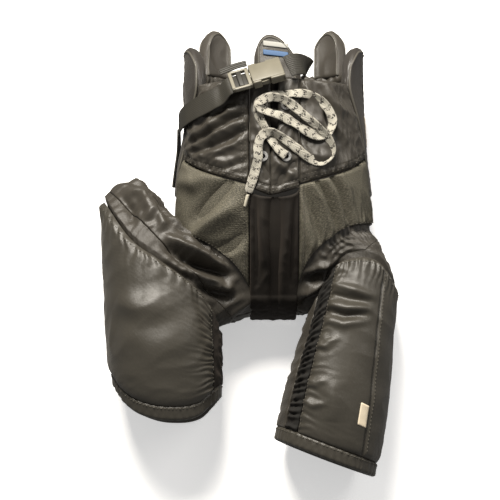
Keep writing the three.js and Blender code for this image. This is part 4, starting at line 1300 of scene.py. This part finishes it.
trunk_rows = []
for name, side in SIDES.items():
    inner = (lambda u: u) if side > 0 else (lambda u: 1 - u)
    for rise in (0.035, 0.075):
        trunk_rows.append((f"front_yoke_cover_{name}", lambda t, v=rise: (mix(0.02, 0.98, t), v)))
    for out in (0.035, 0.07):
        trunk_rows.append((f"front_yoke_cover_{name}", lambda t, u=inner(out): (u, mix(0.03, 0.97, t))))
    trunk_rows.append((f"front_thigh_cover_{name}", lambda t: (mix(0.02, 0.98, t), 0.03)))
    trunk_rows.append((f"front_thigh_cover_{name}", lambda t, u=inner(0.03): (u, mix(0.03, 0.97, t))))
    for rise in (0.03, 0.075):
        trunk_rows.append((f"fly_flap_{name}", lambda t, v=rise: (mix(0.03, 0.97, t), v)))
stitching("trunk_stitches", "hip", trunk_rows)
stitching("thigh_stitches_right", "leg_right", [
    ("thigh_pad_cover_right", lambda t: (mix(0.02, 0.98, t), 0.975)),
    ("thigh_pad_cover_right", lambda t: (0.975, mix(0.03, 0.97, t))),
    ("hem_band_cloth_right", lambda t: (mix(0.01, 0.99, t), 0.8))])
stitching("thigh_stitches_left", "leg_left", [
    ("thigh_pad_cover_left", lambda t: (mix(0.02, 0.98, t), 0.975)),
    ("thigh_pad_cover_left", lambda t: (0.022, mix(0.03, 0.97, t))),
    ("thigh_pad_cover_left", lambda t: (mix(*WELT, t) + 0.022, mix(0.03, 0.97, t))),
    ("hem_band_cloth_left", lambda t: (mix(0.01, 0.99, t), 0.8))])

# ---------------------------------------------------------------- woven labels
# Two plain cream patches, one on the left hip pad and one low on the left thigh. Both are blank.
def label_finish():
    finish = Finish("woven_label")
    place = finish.place()
    thread = finish.noise(finish.stretched(place, 2600, 700), 1.0, 2)
    finish.set(Base_Color=finish.mix(finish.noise(place, 90, 3), (0.66, 0.55, 0.40, 1),
                                     (0.84, 0.74, 0.57, 1)),
               Roughness=0.7, Normal=finish.bump(thread, 0.0003, 0.6))
    return finish.material


LABEL = label_finish()


def label(name, body, node, face, across, up, size):
    skin = OUTER_FACES[face]

    def place(u, v, depth):
        s, t = mix(*across, u), mix(*up, v)
        e = 0.01
        out = (skin(s + e, t) - skin(s - e, t)).cross(skin(s, t + e) - skin(s, t - e)).normalized()
        return skin(s, t) - out * (depth - 0.0004)

    patch = quilted(name, LABEL, place, *size, rise=0.0004, sink=0.0003, roll=0.0008, pitch=0.001)
    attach(patch, body)
    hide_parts(node)


label("thigh_patch", "leg_left", "thigh_label", "thigh_pad_cover_left", across=(0.375, 0.45),
      up=(0.15, 0.265), size=(0.012, 0.022))
label("hip_patch", "hip", "hip_label", "hip_pad_cover_left", across=(0.38, 0.62), up=(0.34, 0.53),
      size=(0.012, 0.034))

# ---------------------------------------------------------------- belt
# Nylon webbing across the front: the left run from the ladder frame to the hip and down the side,
# its loose tail over the frame, and the right run from the socket in behind the panel.
LEFT_RUN = [(-30, 165, 8), (-44, 158, 6), (-62, 152, 6), (-78, 148, 6), (-92, 146, 6)]
SIDE_RUN = [(-94, 145, 7), (-98, 118, 6), (-99, 100, 6), (-100, 78, 6)]
RIGHT_RUN = [(41.5, 194, 158), (48, 197, 157), (56, 199, 152), (61, 200, 143), (64, 200, 132),
             (66, 199, 120)]
TAIL = [(-4, 200, 150), (-14, 197.5, 150), (-24, 194, 149), (-34, 190.5, 147)]
BUCKLE_FACE = Vector((-0.158, 0.551, 0.819))
STRAP_THICKNESS = 0.0018
TAIL_WIDTH = 0.007


def strap(name, node, centre, width, steps, body="hip"):
    """Webbing along centre(t) -> (point, way out of the face)."""
    def skin(t, turn):
        point, out = centre(t)
        ahead = (centre(min(t + 0.01, 1))[0] - centre(max(t - 0.01, 0))[0]).normalized()
        out = (out - ahead * out.dot(ahead)).normalized()
        side = out.cross(ahead)
        across, up = math.cos(turn), math.sin(turn)
        flat = math.copysign(min(abs(up) * 3, 1), up)
        point = point - out * (STRAP_THICKNESS / 2)
        return point + side * (across * width / 2) + out * (flat * STRAP_THICKNESS / 2)

    length = sum((centre((i + 1) / 60)[0] - centre(i / 60)[0]).length for i in range(60))
    belt = swept(name, STRAP, length=length, girth=2 * width, steps=steps, ring=40, place=skin)
    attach(belt, body)
    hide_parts(node)
    return belt


STRAP = webbing("strap_webbing", (0.012, 0.011, 0.008, 1), (0.042, 0.038, 0.028, 1), WEBBING_WIDTH)


def on_form(route):
    stations = [Vector(p) for p in route]

    def centre(t):
        angle, y, lift = spline(stations, t)
        below, above = trunk(angle, y / 1000, -lift / 1000), trunk(angle, y / 1000, -lift / 1000 - 0.004)
        return below, above - below
    return centre


def in_space(route):
    stations = [ORIGIN + Vector(p) / 1000 for p in route]

    def centre(t):
        ahead = heading(stations, t)
        side = UP.cross(ahead).normalized()
        return spline(stations, t), ahead.cross(side)
    return centre


def from_ladder(route):
    """From between the bars of the ladder frame, down on to the form."""
    form = on_form(route)
    stations = [ORIGIN + Vector(p) / 1000 for p in ((-15, 175.5, 157), (-24, 172, 156.5))]
    stations += [form(i / 8)[0] for i in range(9)]

    def centre(t):
        point = spline(stations, t)
        out = form(min(max(t * 1.2 - 0.2, 0), 1))[1].normalized()
        return point, BUCKLE_FACE.lerp(out, min(t / 0.35, 1))
    return centre


strap("belt_left", "belt_front_run", from_ladder(LEFT_RUN), width=WEBBING_WIDTH, steps=70)
strap("belt_side", "belt_side_run", on_form(SIDE_RUN), width=WEBBING_WIDTH - 0.005, steps=40)
strap("belt_right", "belt_right_run", in_space(RIGHT_RUN), width=WEBBING_WIDTH, steps=40,
      body="buckle_socket")
strap("belt_end", "belt_tail", in_space(TAIL), width=TAIL_WIDTH, steps=24)


# Buckle: a side-release buckle of moulded plastic, coloured a pale taupe that is painted glare off its
# gloss. The plug is
#  a ladder frame that the strap threads through, and its two prongs spring out into the socket's side
#  windows.
def plastic(name, dark, light, rough=0.38):
    finish = Finish(name)
    place = finish.place(False)
    haze = finish.noise(place, 60, 3)
    grain = finish.noise(place, 1600, 2)
    finish.set(Base_Color=finish.mix(haze, dark, light),
               Roughness=haze * 0.15 + grain * 0.1 + (rough - 0.1))
    finish.set(Normal=finish.bump(grain, 0.00012, 0.5))
    return finish.material


# The pale colours of the socket and the ladder frame are painted reflection: glare laid into the base
# colour.
BUCKLE = plastic("buckle_plastic", dark=(0.125, 0.115, 0.085, 1), light=(0.185, 0.168, 0.125, 1))
FRAME = plastic("ladder_plastic_painted_glare", dark=(0.16, 0.15, 0.115, 1), light=(0.26, 0.24, 0.19, 1), rough=0.3)
buckle_place = (Matrix.Translation(ORIGIN + Vector((0.002, 0.179, 0.1555)))
                @ Matrix.Rotation(math.radians(16), 4, "Z") @ Matrix.Rotation(math.radians(-35), 4, "X"))


def moulded(name, material, blocks, body, node, bevel=0.0009):
    """Blocks given as their ends along x, y and z in millimetres, each with its edges rounded."""
    mesh = bmesh.new()
    for x0, x1, y0, y1, z0, z1 in blocks:
        centre = Vector((x0 + x1, y0 + y1, z0 + z1)) / 2000
        size = Matrix.Diagonal(((x1 - x0) / 1000, (y1 - y0) / 1000, (z1 - z0) / 1000, 1))
        made = bmesh.ops.create_cube(mesh, size=1, matrix=Matrix.Translation(centre) @ size)
        edges = list({edge for vert in made["verts"] for edge in vert.link_edges})
        least = min(x1 - x0, y1 - y0, z1 - z0) / 1000
        bmesh.ops.bevel(mesh, geom=edges, offset=min(bevel, least * 0.45), segments=3, profile=0.5,
                        affect="EDGES",
                        material=-1)
    bmesh.ops.transform(mesh, matrix=buckle_place, verts=mesh.verts[:])
    obj = shown(name, mesh, material)
    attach(obj, body)
    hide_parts(node)


moulded("socket_shell", BUCKLE, [
    (-0.4, 36, -13.8, 13.8, 7.8, 10.2), (0, 29, -13.5, 13.5, -0.1, 1.9),
    (0, 9.2, -16, -12.6, -0.1, 9.7), (0, 9.2, 12.6, 16, -0.1, 9.7),
    (19.8, 36, -16, -12.4, -0.1, 9.7), (19.8, 36, 12.4, 16, -0.1, 9.7),
    (24.5, 29, -14, 14, 0, 9.6), (32.2, 36, -16, 16, 1, 8.6)], "buckle_socket", "buckle_socket", 0.0012)
moulded("plug_frame", FRAME, [
    (-24, -20, -15.5, 15.5, 2.3, 7.3), (-14.6, -10.4, -15, 15, 2.5, 6.6), (-5, -1, -15.5, 15.5, 2.3, 7.3),
    (-24, -1, -15.5, -12.4, 2.3, 7.3), (-24, -1, 12.4, 15.5, 2.3, 7.3), (-1.8, 20, -2.4, 2.4, 2.6, 7)],
    "hip", "buckle_plug")
moulded("strap_wraps", STRAP, [(-15.2, -9.8, -12.2, 12.2, 1.6, 7.6), (-20.5, -1.6, -12.2, 12.2, 1.0, 2.6)],
        "hip",
        "buckle_plug")
for node in ("buckle_prong_lower", "buckle_prong_upper"):
    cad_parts[node].data.materials.clear()
    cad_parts[node].data.materials.append(BUCKLE)


# Metal eyelets, and the plates that stay as the frame has them.
def steel():
    finish = Finish("eyelet_metal")
    place = finish.place(False)
    brushed = finish.noise(finish.stretched(place, 300, 300, 2400), 1.0, 2)
    finish.set(Base_Color=finish.mix(brushed, (0.50, 0.49, 0.47, 1), (0.72, 0.71, 0.69, 1)), Metallic=1.0,
               Roughness=brushed * 0.2 + 0.16, Normal=finish.bump(brushed, 0.0001, 0.5))
    return finish.material


STEEL = steel()
PLATE = plastic("guard_plate", dark=(0.045, 0.045, 0.045, 1), light=(0.075, 0.075, 0.072, 1), rough=0.5)
for name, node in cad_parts.items():
    finish = None
    if name.startswith("eyelet"):
        finish = STEEL
    elif name.endswith("plate") or "_plate_" in name:
        finish = PLATE
    if finish:
        node.data.materials.clear()
        node.data.materials.append(finish)
